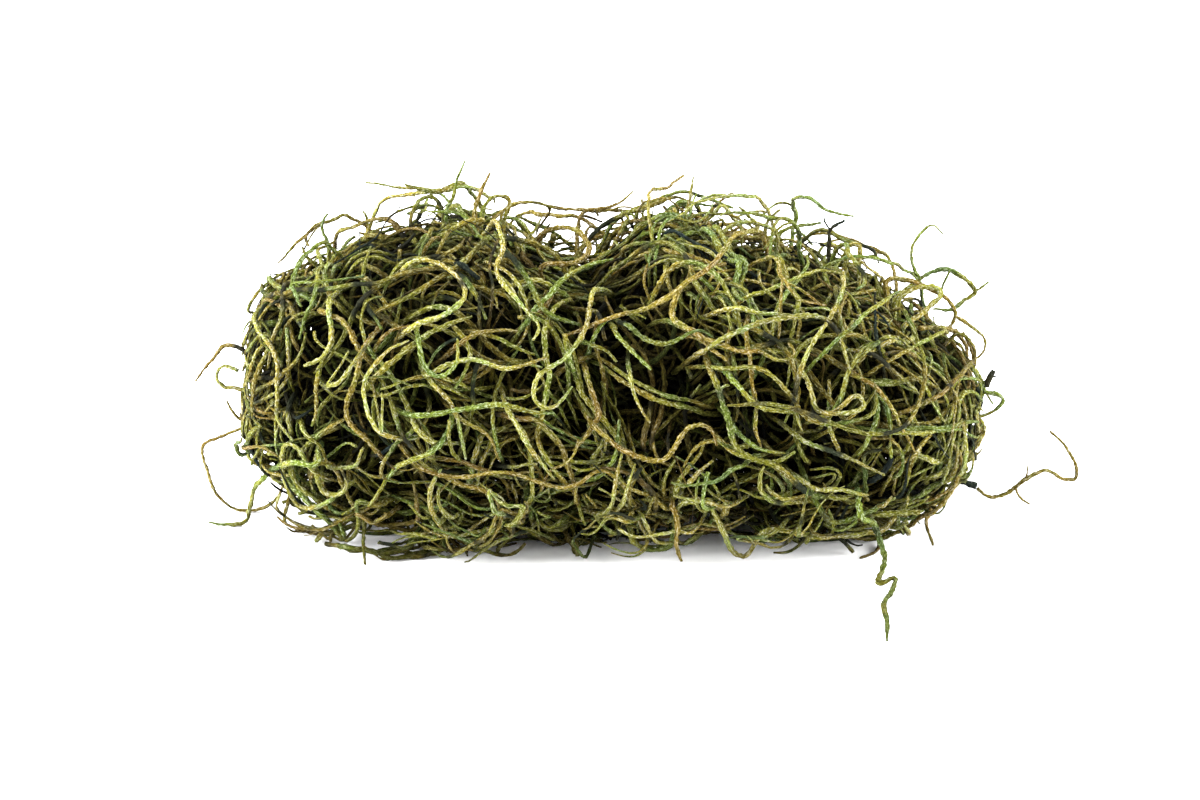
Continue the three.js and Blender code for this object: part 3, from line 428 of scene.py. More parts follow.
# How often a strand has a kink, and how sharp, how often it ends blunt or has a side leaf, and
# how often it is dark near the surface and deep down
KINKED, KINK = 0.3, 0.6
BLUNT_ENDED = 0.4
LEAFY = 0.35
DARK_OUTSIDE, DARK_INSIDE = 0.03, 0.1

# Gaps in the front, dark with real shade and with the painted shade of the strands that lie
# deeper there, all on one level: across, up, radius and how much deeper the strands lie there
GAP_LEVEL = 0.95
GAPS = [
    (9, 9, 12, 0.08),
    (10, -4, 12, 0.04),
    (48, 8, 9, 0.14),
    (-58, 3, 9, 0.12),
    (-22, 7, 8, 0.12),
    (-6, 6, 6, 0.10),
    (34, -22, 11, 0.12),
    (31, -6, 7, 0.12),
    (52, -14, 12, 0.08),
    (-14, -26, 10, 0.10),
    (-44, 19, 9, 0.08),
    (58, -24, 9, 0.10),
]

# Places where the bunch is lower than its outline: x, y, z, radius, and by how much
DIPS = [
    (-9, 4, 62, 14, 0.27),
    (-67, 4, 58, 13, 0.18),
    (-40, 6, 68, 16, 0.11),
    (32, 4, 66, 20, 0.19),
    (64, 2, 50, 16, 0.23),
    (80, 2, 30, 12, 0.09),
    (72, 0, 8, 14, 0.05),
    (-74, 0, 10, 10, 0.10),
]

# How many strands cross each end of the bunch
ACROSS_END = 34

# Hairs, far thinner than the strands, that lie among the outer ones
HAIRS = 60
HAIR_WAY = dict(FINE, start=-50, end=230, low=0.93, high=1.03, radius=HAIR_R, lift=0.2)

# The imported inside: its level, its lumps, its length beside the bunch's, its height off the
# floor, how light its tone is, and how far out it counts as for the painted shade that makes it
# dark
CORE_LEVEL, CORE_LUMPS = 0.56, 0.25
CORE_LENGTH, CORE_CLEAR = 0.86, 1.5
CORE_TONE, CORE_SHADE_DEPTH = 0.4, 0.66

# Each dye's colours: its pits, dark partly in their own colour and partly with painted shade, its
# body, its scales, and what it drifts to where it is warm or cool
DYES = {
    "olive": dict(shaded_pit=(0.030, 0.031, 0.003), body=(0.183, 0.185, 0.016),
                  scale=(0.500, 0.500, 0.285), warm=(0.218, 0.166, 0.018),
                  cool=(0.120, 0.170, 0.024)),
    "pale": dict(shaded_pit=(0.068, 0.066, 0.008), body=(0.278, 0.278, 0.042),
                 scale=(0.600, 0.595, 0.440), warm=(0.262, 0.210, 0.032),
                 cool=(0.205, 0.275, 0.058)),
    "green": dict(shaded_pit=(0.023, 0.035, 0.005), body=(0.145, 0.190, 0.020),
                  scale=(0.430, 0.500, 0.300), warm=(0.208, 0.191, 0.018),
                  cool=(0.100, 0.155, 0.032)),
    "brown": dict(shaded_pit=(0.040, 0.030, 0.004), body=(0.218, 0.166, 0.021),
                  scale=(0.480, 0.430, 0.275), warm=(0.183, 0.120, 0.015),
                  cool=(0.184, 0.180, 0.022)),
    "dark": dict(shaded_pit=(0.003, 0.005, 0.003), body=(0.010, 0.015, 0.011),
                 scale=(0.050, 0.065, 0.045), warm=(0.030, 0.025, 0.008),
                 cool=(0.012, 0.022, 0.022)),
}
STAIN = (0.007, 0.011, 0.010)

# How often each dye comes in the tangle
SHARES = [("olive", 0.46), ("pale", 0.14), ("green", 0.21), ("brown", 0.19)]

# Where the lamps point, in metres
LAMP_AIM = (0, 0, 0.03)


# Random numbers


def draws(seed):
    """Seeded draws between 0 and 1, the same on every run."""
    factor, shift, span = 1664525, 1013904223, 4294967296
    state = seed

    def draw():
        nonlocal state
        state = (state * factor + shift) % span
        return state / span

    return draw


def drawn(rng, least, span):
    """A random number from least to least + span."""
    return least + span * rng.random()


def either_way(rng):
    """1 or -1, at random."""
    return 1 if rng.random() < 0.5 else -1


def clamp(value, low, high):
    return max(low, min(value, high))


# The bunch's shape


def section_at(x):
    """The underside, crest and half depth at x, smoothed through the outline's stations."""
    last = len(OUTLINE) - 1
    i = 0
    while i < last - 1 and x > OUTLINE[i + 1][0]:
        i += 1
    u = clamp((x - OUTLINE[i][0]) / (OUTLINE[i + 1][0] - OUTLINE[i][0]), 0, 1)
    rows = [OUTLINE[clamp(j, 0, last)] for j in (i - 1, i, i + 1, i + 2)]

    def smooth(k):
        a, b, c, d = (row[k] for row in rows)
        return b + 0.5 * u * (c - a + u * (2 * a - 5 * b + 4 * c - d + u * (3 * (b - c) + d - a)))

    return smooth(1), smooth(2), max(smooth(3), 1)


def level_of(x, y, z):
    """How far out a point lies: 0 on the bunch's axis, 1 on its outline, more outside."""
    low, high, deep = section_at(x)
    up = abs((2 * z - low - high) / (high - low))
    across = abs(y / deep)
    ring = (up**SQUARENESS + across**SQUARENESS) ** (1 / SQUARENESS)
    return ring + max(LEFT_END - x, x - RIGHT_END, 0) / BEYOND_END


def outward_at(x, y, z):
    """The way out of the bunch at a point, and how fast the level grows along it."""
    reach = 0.5
    slope = (
        level_of(x + reach, y, z) - level_of(x - reach, y, z),
        level_of(x, y + reach, z) - level_of(x, y - reach, z),
        level_of(x, y, z + reach) - level_of(x, y, z - reach),
    )
    rate = max(math.sqrt(slope[0] ** 2 + slope[1] ** 2 + slope[2] ** 2), 1e-6)
    return tuple(s / rate for s in slope), rate / (2 * reach)


def point_on(x, angle, level):
    """The point at an angle round the section at x, on the given level."""
    low, high, deep = section_at(x)
    c, s = math.cos(angle), math.sin(angle)
    power = 2 / SQUARENESS
    return (
        x,
        level * deep * math.copysign(abs(c) ** power, c),
        (low + high) / 2 + level * (high - low) / 2 * math.copysign(abs(s) ** power, s),
    )


def seen(across, up, depth):
    """A point of the front view: across and up from its middle, and the depth behind the axis."""
    tilt_c, tilt_s = math.cos(VIEW_TILT), math.sin(VIEW_TILT)
    eye = np.array(VIEW_MIDDLE) + VIEW_DISTANCE * np.array((0, -tilt_c, tilt_s))
    spot = np.array(VIEW_MIDDLE) + np.array((across, up * tilt_s, up * tilt_c))
    return eye + (spot - eye) * (depth - eye[1]) / (spot[1] - eye[1])


def laid(across, up, level):
    """The point where the front view, at this place, first meets a level of the bunch."""
    depth, farthest, step = -60, 30, 0.5
    while depth < farthest:
        p = seen(across, up, depth)
        if level_of(*p) <= level:
            return p
        depth += step
    return seen(across, up, 0)


def sunk(p, places):
    """How much deeper than its outline the bunch lies at a point, because of the places. Each
    reaches twice as far front to back as across."""
    depth, farthest = 0, 4
    for x, y, z, radius, most in places:
        far = ((p[0] - x) ** 2 + ((p[1] - y) / 2) ** 2 + (p[2] - z) ** 2) / radius**2
        if far < farthest:
            depth += most * math.exp(-far)
    return depth


def root_of(end):
    """Two points that carry a strand from its end down into the bunch, the deep one first."""
    x = clamp(end[0], LEFT_END + ROOT_ROOM, RIGHT_END - ROOT_ROOM)
    low, high, _ = section_at(x)
    inside = np.array((x, 0, (low + high) / 2))

    def heart_level(p):
        return level_of(MIDDLE_X + (p[0] - MIDDLE_X) / HEART_LENGTH, p[1], p[2]) / HEART

    share, step = 0, 0.01
    while share < 1 and heart_level(end + (inside - end) * share) > ROOT_LEVEL:
        share += step
    return [end + (inside - end) * share, end + (inside - end) * share * 0.5]


def shade_depth_of(p):
    """How near the bunch's surface a point lies, which sets the painted shade of a strand's
    colour: 1 on it, less inside or where the floor is near, and kept near 1 towards an end, which
    is painted lit."""
    from_end = min(p[0] - LEFT_END, RIGHT_END - p[0])
    shaded = SHADED_BY * clamp(1 - p[2] / SHADED_BELOW, 0, 1)
    near = min(level_of(*p), OUTERMOST) + sunk(p, DIPS) - shaded
    return max(near, AT_END - from_end / END_FADE)


def through_space(route, level=1, rooted=True, both=False):
    """A strand's points in space, from its route in the front view, with its roots."""
    points = [seen(*spot) if len(spot) == 3 else laid(*spot, level) for spot in route]
    near = root_of(points[0]) if rooted else []
    far = root_of(points[-1])[::-1] if both else []
    return np.array([*near, *points, *far])


def tucked(points, both):
    """A strand's course, with its root led in at a slant under the strands round it."""

    def lead_in(end, before):
        out, rate = outward_at(*end)
        way = np.array(made_flat(end - before, out))
        return [end + way * far - np.array(out) * drop / rate for far, drop in LEAD_IN]

    near = lead_in(points[0], points[1])[::-1]
    far = lead_in(points[-1], points[-2]) if both else []
    return np.array([*near, *points, *far])


def smooth_course(points, count):
    """Evenly spaced points on a smooth curve through the given ones."""
    p = np.asarray(points, float)
    p = np.vstack([2 * p[0] - p[1], p, 2 * p[-1] - p[-2]])
    gaps = np.maximum(np.linalg.norm(np.diff(p, axis=0), axis=1), 1e-4) ** 0.5
    at = np.linspace(0, len(p) - 3, CURVE_POINTS)
    k = np.minimum(at.astype(int), len(p) - 4)
    u = (at - k)[:, None]
    a, b, c, d = p[k], p[k + 1], p[k + 2], p[k + 3]
    before, here, after = (gaps[k + j][:, None] for j in range(3))
    start = ((b - a) / before - (c - a) / (before + here) + (c - b) / here) * here
    end = ((c - b) / here - (d - b) / (here + after) + (d - c) / after) * here
    line = b + u * (start + u * (3 * (c - b) - 2 * start - end + u * (2 * (b - c) + start + end)))
    gone = np.concatenate([[0], np.cumsum(np.linalg.norm(np.diff(line, axis=0), axis=1))])
    share = np.interp(np.linspace(0, gone[-1], count), gone, at)
    return np.stack([np.interp(share, at, line[:, axis]) for axis in range(3)], axis=1)


def length_of(points):
    course = smooth_course(points, CURVE_POINTS)
    return float(np.linalg.norm(np.diff(course, axis=0), axis=1).sum())


def evenly(points, step=1.0):
    return smooth_course(points, max(int(length_of(points) / step + 0.5), 3) + 1)


# Strands laid at random


HOLLOWS = [(*laid(across, up, GAP_LEVEL), radius, most) for across, up, radius, most in GAPS]


class Weave:
    """Where strands lie already, so that a new one can keep out of them."""

    CELL = 3.0
    TRIES = 4
    DEEPEST = 0.6
    SPARE = 0.1

    def __init__(self):
        self.cells = {}

    def cell(self, p):
        return tuple(int(v // self.CELL) for v in p)

    def add(self, points, radius=0.0):
        for p in points:
            self.cells.setdefault(self.cell(p), []).append((*map(float, p), radius))

    def nearest(self, p):
        """The least distance from a point to the surface of a strand that lies near it."""
        i, j, k = self.cell(p)
        least = self.CELL
        for a in (i - 1, i, i + 1):
            for b in (j - 1, j, j + 1):
                for c in (k - 1, k, k + 1):
                    for x, y, z, r in self.cells.get((a, b, c), ()):
                        gap = math.dist(p, (x, y, z)) - r
                        if gap < least:
                            least = gap
        return least

    def pushed(self, p, out, radius):
        """The point moved inwards, in a few tries, to be clear of what lies there."""
        for _ in range(self.TRIES):
            lack = radius - self.nearest(p)
            if lack <= 0 or level_of(*p) < self.DEEPEST:
                break
            p = [v - o * (lack + self.SPARE) for v, o in zip(p, out)]
        return p


def section_outward(x, y, z):
    """Roughly the way out of the bunch at a point, from its section alone."""
    low, high, deep = section_at(x)
    up = (2 * z - low - high) / (high - low) / (high - low)
    across = y / deep / deep
    size = math.hypot(up, across) + 1e-9
    return (0, across / size, up / size)


def turned(v, axis, angle):
    """A direction turned about an axis."""
    c, s = math.cos(angle), math.sin(angle)
    along = (axis[0] * v[0] + axis[1] * v[1] + axis[2] * v[2]) * (1 - c)
    cross = (
        axis[1] * v[2] - axis[2] * v[1],
        axis[2] * v[0] - axis[0] * v[2],
        axis[0] * v[1] - axis[1] * v[0],
    )
    return [v[k] * c + cross[k] * s + axis[k] * along for k in range(3)]


def made_flat(v, out):
    """A direction with its part along out taken off, at unit length."""
    dot = sum(a * b for a, b in zip(v, out))
    flat = [a - dot * b for a, b in zip(v, out)]
    size = math.sqrt(sum(a * a for a in flat))
    return [a / size for a in flat]


def grow(start, go, length, plan):
    """Lays a strand step by step: it comes to its running level, sways, and ends in its tip."""
    p = list(start)
    points = [tuple(p)]
    gone = 0.0
    while gone < length:
        settling = min(gone / SETTLES_BY, 1)
        ending = max((gone / length - 1) / TIP_SHARE + 1, 0)
        sway = plan["rise"] * math.sin(2 * math.pi * gone / RISE_LENGTH + plan["phase"])
        wanted = plan["root"] + (plan["run"] - plan["root"]) * settling
        wanted += (plan["tip"] - plan["run"]) * ending * ending + sway
        if plan.get("sinks"):
            wanted -= sunk(p, HOLLOWS) + sunk(p, DIPS)
            wanted += LUMPS * noise.noise(Vector(p) / LUMP_SIZE)
        out, rate = outward_at(*p)
        climb = clamp((wanted - level_of(*p)) / rate / CLIMB_OVER, -STEEPEST, STEEPEST)
        turn = plan["bend"] + plan["curl"] * math.sin(
            2 * math.pi * gone / plan["wave"] + plan["phase"]
        )
        if plan.get("kink") and abs(gone - plan["kink_at"]) < GROW_STEP:
            turn += plan["kink"]
        go = made_flat(turned(go, out, turn * GROW_STEP), out)
        ahead = GROW_STEP * math.sqrt(1 - climb * climb)
        p = [p[k] + go[k] * ahead + out[k] * GROW_STEP * climb for k in range(3)]
        p[2] = max(p[2], plan["radius"])
        if plan.get("sinks"):
            if min(p[0] - LEFT_END, RIGHT_END - p[0]) < plan["room"]:
                break
        points.append(tuple(p))
        gone += GROW_STEP
    return points


def wander(draw, way, **more):
    """Lays a strand at random: its points, and the plan that it grew by."""
    x = way["span"][0] + (way["span"][1] - way["span"][0]) * draw()
    angle = math.radians(way["start"] + (way["end"] - way["start"]) * draw())
    length = way["shortest"] + (way["longest"] - way["shortest"]) * draw()
    run = way["low"] + (way["high"] - way["low"]) * draw()
    heading = (0 if draw() < 0.5 else math.pi) + (draw() + draw() - 1) * way["spread"]
    plan = dict(
        more,
        root=way["root"],
        run=run,
        radius=way["radius"],
        rise=way["rise"],
        room=way.get("room", 0),
        bend=(draw() - 0.5) * SIDEWAYS_BEND,
        curl=way["curl"][0] + way["curl"][1] * draw(),
        wave=way["wave"][0] + way["wave"][1] * draw(),
        phase=2 * math.pi * draw(),
    )
    plan["tip"] = run + way["lift"] if draw() < 0.5 else run - TIP_DIP
    p = point_on(x, angle, way["root"])
    p = (MIDDLE_X + (x - MIDDLE_X) * HEART_LENGTH, p[1], p[2])
    if way.get("flow"):
        heading += noise.noise(Vector(p) / FLOW_SIZE) * 2 * math.pi * way["flow"]
    out, _ = outward_at(*p)
    side = made_flat((1, 0, 0), out)
    other = (
        out[1] * side[2] - out[2] * side[1],
        out[2] * side[0] - out[0] * side[2],
        out[0] * side[1] - out[1] * side[0],
    )
    go = [side[k] * math.cos(heading) + other[k] * math.sin(heading) for k in range(3)]
    return grow(p, go, length, plan), plan


def meets_itself(points, radius):
    """Whether a strand comes back to touch itself. Points close along it don't count."""
    near = 3 * radius
    skip = math.ceil(5 * radius / GROW_STEP)
    return any(
        math.dist(p, q) < near for i, p in enumerate(points) for q in points[i + skip:]
    )


def wander_clear(draw, way, weave):
    """A strand laid at random that keeps clear of those in the weave, as the frame's do."""
    gap = way["radius"] + STRAY_R + APART
    while True:
        points, _ = wander(draw, way)
        if all(weave.nearest(p) > gap for p in evenly(points)):
            if not meets_itself(points, way["radius"]):
                return points


# Tubes


class Strand:
    """One strand's tube: its form, the places of its corners, and what colours it."""

    rods = {}

    # Stretches come in fours, so that many strands share one straight rod
    STRETCHES = 4

    # A tip's length and how it curves, and how much a strand swells, over how many rings
    TIP_LENGTH, TIP_CURVE = 12, 0.7
    NARROW, SWELLS_BY, SWELL_RINGS = 0.8, 0.4, 5

    # How much it twists from ring to ring, how far it may be turned, how deep the groove along it
    # is, and how flat it may be
    TWIST = 0.1
    ANY_TURN = 6.28
    GROOVE = 0.66
    FLATTEST = 0.75

    # How far apart on the pattern of scales two strands may lie
    PATTERN_SPAN = 500

    def __init__(self, points, radius, rng, sides, step, tip=SHARP, fresh=0):
        length = length_of(points)
        self.rings = self.STRETCHES * max(int(length / step / self.STRETCHES + 0.5), 1) + 1
        self.length = length
        self.radius = radius
        key = (sides, self.rings)
        if key not in self.rods:
            self.rods[key] = straight_rod(*key)
        self.rod = self.rods[key]
        centres = smooth_course(points, self.rings)
        centres[:, 2] = np.maximum(centres[:, 2], radius)
        self.places = self.bent(centres, radius, rng, tip)
        # A strand's tone: at least fresh, the rest drawn at random
        self.tone = np.full(len(self.places), fresh + (1 - fresh) * rng.random())
        along = length * self.rod["share"] + self.PATTERN_SPAN * rng.random()
        angle = self.rod["angle"]
        self.skin = np.stack([radius * np.cos(angle), radius * np.sin(angle), along], axis=1)
        # How deep each ring lies, which sets the painted shade of its colour
        self.depth = np.array([shade_depth_of(c) for c in centres])[self.rod["ring"]]

    def bent(self, centres, radius, rng, tip):
        """The rod's corners, carried along the strand: ribbed, twisted, scaly and tapered."""
        rod, rings = self.rod, self.rings
        tangents = np.gradient(centres, axis=0)
        tangents /= np.linalg.norm(tangents, axis=1)[:, None]
        normal = np.cross(tangents[0], (0.0, 0.0, 1.0))
        if np.linalg.norm(normal) < 0.1:
            normal = np.cross(tangents[0], (0.0, 1.0, 0.0))
        normals = np.empty_like(tangents)
        for k, tangent in enumerate(tangents):
            normal = normal - tangent * normal.dot(tangent)
            normal /= math.sqrt(normal.dot(normal))
            normals[k] = normal
        binormals = np.cross(tangents, normals)
        left = np.linspace(1, 0, rings) * self.length
        taper = tip + (1 - tip) * np.clip(left / self.TIP_LENGTH, 0, 1) ** self.TIP_CURVE
        count = self.SWELL_RINGS
        swell = np.convolve(rng.random(rings + count - 1), np.ones(count) / count, "valid")
        thick = radius * taper * (self.NARROW + self.SWELLS_BY * swell)
        ring = rod["ring"]
        twist = (rng.random() - 0.5) * self.TWIST
        turn = rod["angle"] + twist * ring + self.ANY_TURN * rng.random()
        grain = 1 + ROUGH * (2 * rng.random(len(turn)) - 1)
        groove = np.where(rod["side"] == 0, self.GROOVE, 1.0)
        wide = thick[ring] * grain * groove
        flat = drawn(rng, self.FLATTEST, 1 - self.FLATTEST)
        across = (np.cos(turn) * wide)[:, None]
        up = (np.sin(turn) * wide * flat)[:, None]
        return centres[ring] + normals[ring] * across + binormals[ring] * up


def mesh_from(bm, name):
    mesh = bpy.data.meshes.new(name)
    bm.to_mesh(mesh)
    bm.free()
    return mesh


def new_object(name, data):
    made = bpy.data.objects.new(name, data)
    bpy.context.scene.collection.objects.link(made)
    return made


def straight_rod(sides, rings):
    """A straight rod with closed ends, and where each of its corners and face corners is."""
    bm = bmesh.new()
    bmesh.ops.create_cone(
        bm, cap_ends=True, cap_tris=False, segments=sides, radius1=1, radius2=1, depth=rings - 1
    )
    upright = [e for e in bm.edges if abs(e.verts[0].co.z - e.verts[1].co.z) > 0.5]
    bmesh.ops.subdivide_edges(bm, edges=upright, cuts=rings - 2, use_grid_fill=True)
    bmesh.ops.recalc_face_normals(bm, faces=bm.faces)
    mesh = mesh_from(bm, "rod")
    co = np.empty(len(mesh.vertices) * 3)
    mesh.vertices.foreach_get("co", co)
    co = co.reshape(-1, 3)
    angle = np.arctan2(co[:, 1], co[:, 0]) % (2 * math.pi)
    ring = np.clip(np.rint(co[:, 2] + (rings - 1) / 2), 0, rings - 1).astype(int)
    side = np.rint(angle / (2 * math.pi) * sides).astype(int) % sides
    corners, end = [], []
    for face in mesh.polygons:
        is_end = abs(face.normal.z) > 0.9
        middle = math.atan2(face.center.y, face.center.x) % (2 * math.pi)
        for v in face.vertices:
            if is_end:
                corners.append((math.cos(angle[v]), math.sin(angle[v])))
                end.append(1 if face.normal.z > 0 else -1)
            else:
                round_by = (angle[v] - middle + math.pi) % (2 * math.pi) - math.pi + middle
                corners.append((ring[v] / (rings - 1), round_by / (2 * math.pi)))
                end.append(0)
    return dict(
        mesh=mesh,
        angle=angle,
        ring=ring,
        side=side,
        share=ring / (rings - 1),
        corners=np.array(corners),
        end=np.array(end),
    )


def unwrap(strands):
    """Lays the strands' skins out flat in one square, each as a strip, row under row."""
    gap, spare, end_size = 0.8, 1.03, 0.4
    strips = [(s.length + 4 * s.radius + gap, 2 * math.pi * s.radius + gap) for s in strands]
    width = math.sqrt(sum(a * b for a, b in strips)) * spare
    width = max(width, max(a for a, _ in strips) + gap)
    rows, x, y, tall = [], 0.0, 0.0, 0.0
    for long, high in strips:
        if x + long > width:
            x, y, tall = 0.0, y + tall, 0.0
        rows.append((x, y, long, high))
        x += long
        tall = max(tall, high)
    height = y + tall
    laid_out = []
    for strand, (x, y, long, high) in zip(strands, rows):
        rod, cap = strand.rod, 2 * strand.radius
        side_u = x + cap + rod["corners"][:, 0] * strand.length
        side_v = y + rod["corners"][:, 1] * (high - gap)
        end_u = x + np.where(rod["end"] > 0, long - gap - cap / 2, cap / 2)
        end_u = end_u + rod["corners"][:, 0] * cap * end_size
        end_v = y + (high - gap) / 2 + rod["corners"][:, 1] * cap * end_size
        is_end = rod["end"] != 0
        u = np.where(is_end, end_u, side_u) / width
        v = np.where(is_end, end_v, side_v) / height
        laid_out.append(np.stack([u, v], axis=1))
    return np.concatenate(laid_out)


def give(mesh, name, values):
    """Stores a number or a place for each corner of a mesh, for its material to read."""
    values = np.concatenate(values).astype(np.float32)
    if values.ndim == 1:
        mesh.attributes.new(name, "FLOAT", "POINT").data.foreach_set("value", values)
    else:
        made = mesh.attributes.new(name, "FLOAT_VECTOR", "POINT")
        made.data.foreach_set("vector", values.ravel())


def place_piece(name, mesh, dye, replaced):
    """Makes a mesh a piece of the bunch, which stands for a node."""
    mesh.polygons.foreach_set("use_smooth", np.ones(len(mesh.polygons), bool))
    mesh.materials.append(MATERIALS[dye])
    mesh.update()
    piece = new_object(name, mesh)
    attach(piece, "root")
    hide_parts(replaced)


def make_piece(name, strands, dye, replaced):
    """One piece of the bunch, from the strands in it."""
    bm = bmesh.new()
    for strand in strands:
        bm.from_mesh(strand.rod["mesh"])
    mesh = mesh_from(bm, name)
    places = np.concatenate([s.places for s in strands])
    mesh.vertices.foreach_set("co", (places * MM).ravel())
    give(mesh, "tone", [s.tone for s in strands])
    give(mesh, "skin", [s.skin for s in strands])
    # depth carries the painted shade that the material reads
    give(mesh, "depth", [s.depth for s in strands])
    skin = mesh.uv_layers.new(name="OFBake")
    skin.uv.foreach_set("vector", unwrap(strands).ravel())
    place_piece(name, mesh, dye, replaced)


# Materials


def link(tree, start, end):
    tree.links.new(start, end)


def feed(tree, socket, value):
    """Links a socket to another node's, or sets it."""
    if isinstance(value, bpy.types.NodeSocket):
        link(tree, value, socket)
    else:
        socket.default_value = value


def node(tree, kind, **inputs):
    """A shader node with some of its inputs set or linked."""
    made = tree.nodes.new(kind)
    for name, value in inputs.items():
        feed(tree, made.inputs[name.replace("_", " ")], value)
    return made


def ramp(tree, factor, *stops):
    """Colours between stops, each a position and a colour or a brightness."""
    made = node(tree, "ShaderNodeValToRGB", Fac=factor)
    marks = made.color_ramp.elements
    while len(marks) < len(stops):
        marks.new(0.5)
    for mark, (place, tint) in zip(marks, stops):
        mark.position = place
        mark.color = (*tint, 1) if isinstance(tint, tuple) else (tint, tint, tint, 1)
    return made.outputs["Color"]


def mix(tree, factor, a, b, blend="MIX"):
    """Two colours mixed by a mask."""
    made = tree.nodes.new("ShaderNodeMix")
    made.data_type = "RGBA"
    made.blend_type = blend
    colour_a, colour_b, colour_out = 6, 7, 2
    feed(tree, made.inputs[0], factor)
    feed(tree, made.inputs[colour_a], a)
    feed(tree, made.inputs[colour_b], b)
    return made.outputs[colour_out]


def math_node(tree, operation, a, b):
    made = tree.nodes.new("ShaderNodeMath")
    made.operation = operation
    feed(tree, made.inputs[0], a)
    feed(tree, made.inputs[1], b)
    return made.outputs[0]


def stored(tree, name):
    """What a mesh's corners hold under a name."""
    made = tree.nodes.new("ShaderNodeAttribute")
    made.attribute_name = name
    return made


def stretched(tree, place, along):
    """A place on a strand's skin, with the way along the strand scaled."""
    made = tree.nodes.new("ShaderNodeVectorMath")
    made.operation = "MULTIPLY"
    link(tree, place, made.inputs[0])
    made.inputs[1].default_value = (1, 1, along)
    return made.outputs["Vector"]


def new_group(name, takes, gives):
    """An empty node group with named sockets, and its two end nodes."""
    tree = bpy.data.node_groups.new(name, "ShaderNodeTree")
    for label, kind in takes:
        tree.interface.new_socket(name=label, in_out="INPUT", socket_type=kind)
    for label, kind in gives:
        tree.interface.new_socket(name=label, in_out="OUTPUT", socket_type=kind)
    return tree, tree.nodes.new("NodeGroupInput"), tree.nodes.new("NodeGroupOutput")


def scales_group():
    """The fine scales that cover every strand: pale flecks, pits, the long ribs between them, and
    their height. The material darkens the pits and the ribs' valleys partly with painted shade."""
    tree, taken, given = new_group(
        "leaf scales",
        [("Scales per mm", "NodeSocketFloat"), ("Ribs per mm", "NodeSocketFloat")],
        [("Flecks", "NodeSocketFloat"), ("Pits", "NodeSocketFloat"),
         ("Ribs", "NodeSocketFloat"), ("Height", "NodeSocketFloat")],
    )
    skin = stored(tree, "skin").outputs["Vector"]
    scaly = stretched(tree, skin, 0.5)
    size = taken.outputs["Scales per mm"]
    fine = node(tree, "ShaderNodeTexNoise", Vector=scaly, Scale=size, Detail=2.0, Roughness=0.65)
    cells = node(tree, "ShaderNodeTexVoronoi", Vector=scaly, Scale=size)
    ribs = node(tree, "ShaderNodeTexNoise", Vector=stretched(tree, skin, 0.12),
                Scale=taken.outputs["Ribs per mm"], Detail=1.0)
    flecks = ramp(tree, fine.outputs["Fac"], (0.53, 0), (0.63, 1))
    pits = ramp(tree, fine.outputs["Fac"], (0.36, 1), (0.48, 0))
    domes = ramp(tree, cells.outputs["Distance"], (0.0, 1), (0.75, 0))
    height = math_node(tree, "ADD", fine.outputs["Fac"], math_node(tree, "MULTIPLY", domes, 0.5))
    height = math_node(tree, "ADD", height, ribs.outputs["Fac"])
    link(tree, flecks, given.inputs["Flecks"])
    link(tree, pits, given.inputs["Pits"])
    link(tree, ramp(tree, ribs.outputs["Fac"], (0.38, 0), (0.58, 1)), given.inputs["Ribs"])
    link(tree, height, given.inputs["Height"])
    return tree


def ageing_group():
    """How the dye drifts along a strand, where it pooled dark, and the light and shade painted on
    a strand by how deep it lies, with its own tone.
    """
    tree, taken, given = new_group(
        "dye and age",
        [("Patch Size", "NodeSocketFloat")],
        [("Warm", "NodeSocketFloat"), ("Cool", "NodeSocketFloat"),
         ("Stain", "NodeSocketFloat"), ("Light", "NodeSocketColor")],
    )

    skin = tree.nodes.new("ShaderNodeSeparateXYZ")
    link(tree, stored(tree, "skin").outputs["Vector"], skin.inputs[0])

    def drift(pace, shift):
        made = tree.nodes.new("ShaderNodeTexNoise")
        made.noise_dimensions = "1D"
        made.inputs["Detail"].default_value = 2.0
        made.inputs["Scale"].default_value = 1.0
        walk = math_node(tree, "MULTIPLY", skin.outputs["Z"], pace)
        link(tree, math_node(tree, "ADD", walk, shift), made.inputs["W"])
        return made.outputs["Fac"]

    where = tree.nodes.new("ShaderNodeTexCoord").outputs["Object"]
    patch = node(tree, "ShaderNodeTexNoise", Vector=where, Scale=taken.outputs["Patch Size"],
                 Detail=2.0).outputs["Fac"]
    tone = stored(tree, "tone").outputs["Fac"]
    warm = math_node(tree, "ADD", drift(0.06, 3.1), math_node(tree, "MULTIPLY", patch, 0.5))
    stain = math_node(tree, "ADD", drift(0.09, 41.7), math_node(tree, "MULTIPLY", patch, 0.7))
    stain = math_node(tree, "SUBTRACT", stain, math_node(tree, "MULTIPLY", tone, 0.3))
    shade = ramp(tree, tone, (0, 0.35), (1, 0.63))
    # Painted shade by depth: near black deep inside and at the foot, olive midway, full colour at
    # the surface and the ends
    depth = ramp(tree, stored(tree, "depth").outputs["Fac"], (0.69, (0.008, 0.008, 0.001)),
                 (0.84, (0.20, 0.195, 0.08)), (0.94, (1, 1, 1)))
    link(tree, ramp(tree, warm, (0.72, 0), (0.86, 1)), given.inputs["Warm"])
    link(tree, ramp(tree, drift(0.08, 17.3), (0.5, 0), (0.64, 1)), given.inputs["Cool"])
    link(tree, ramp(tree, stain, (0.84, 0), (0.98, 1)), given.inputs["Stain"])
    link(tree, mix(tree, 1.0, shade, depth, "MULTIPLY"), given.inputs["Light"])
    return tree


def rgb(colour):
    return (*colour, 1)


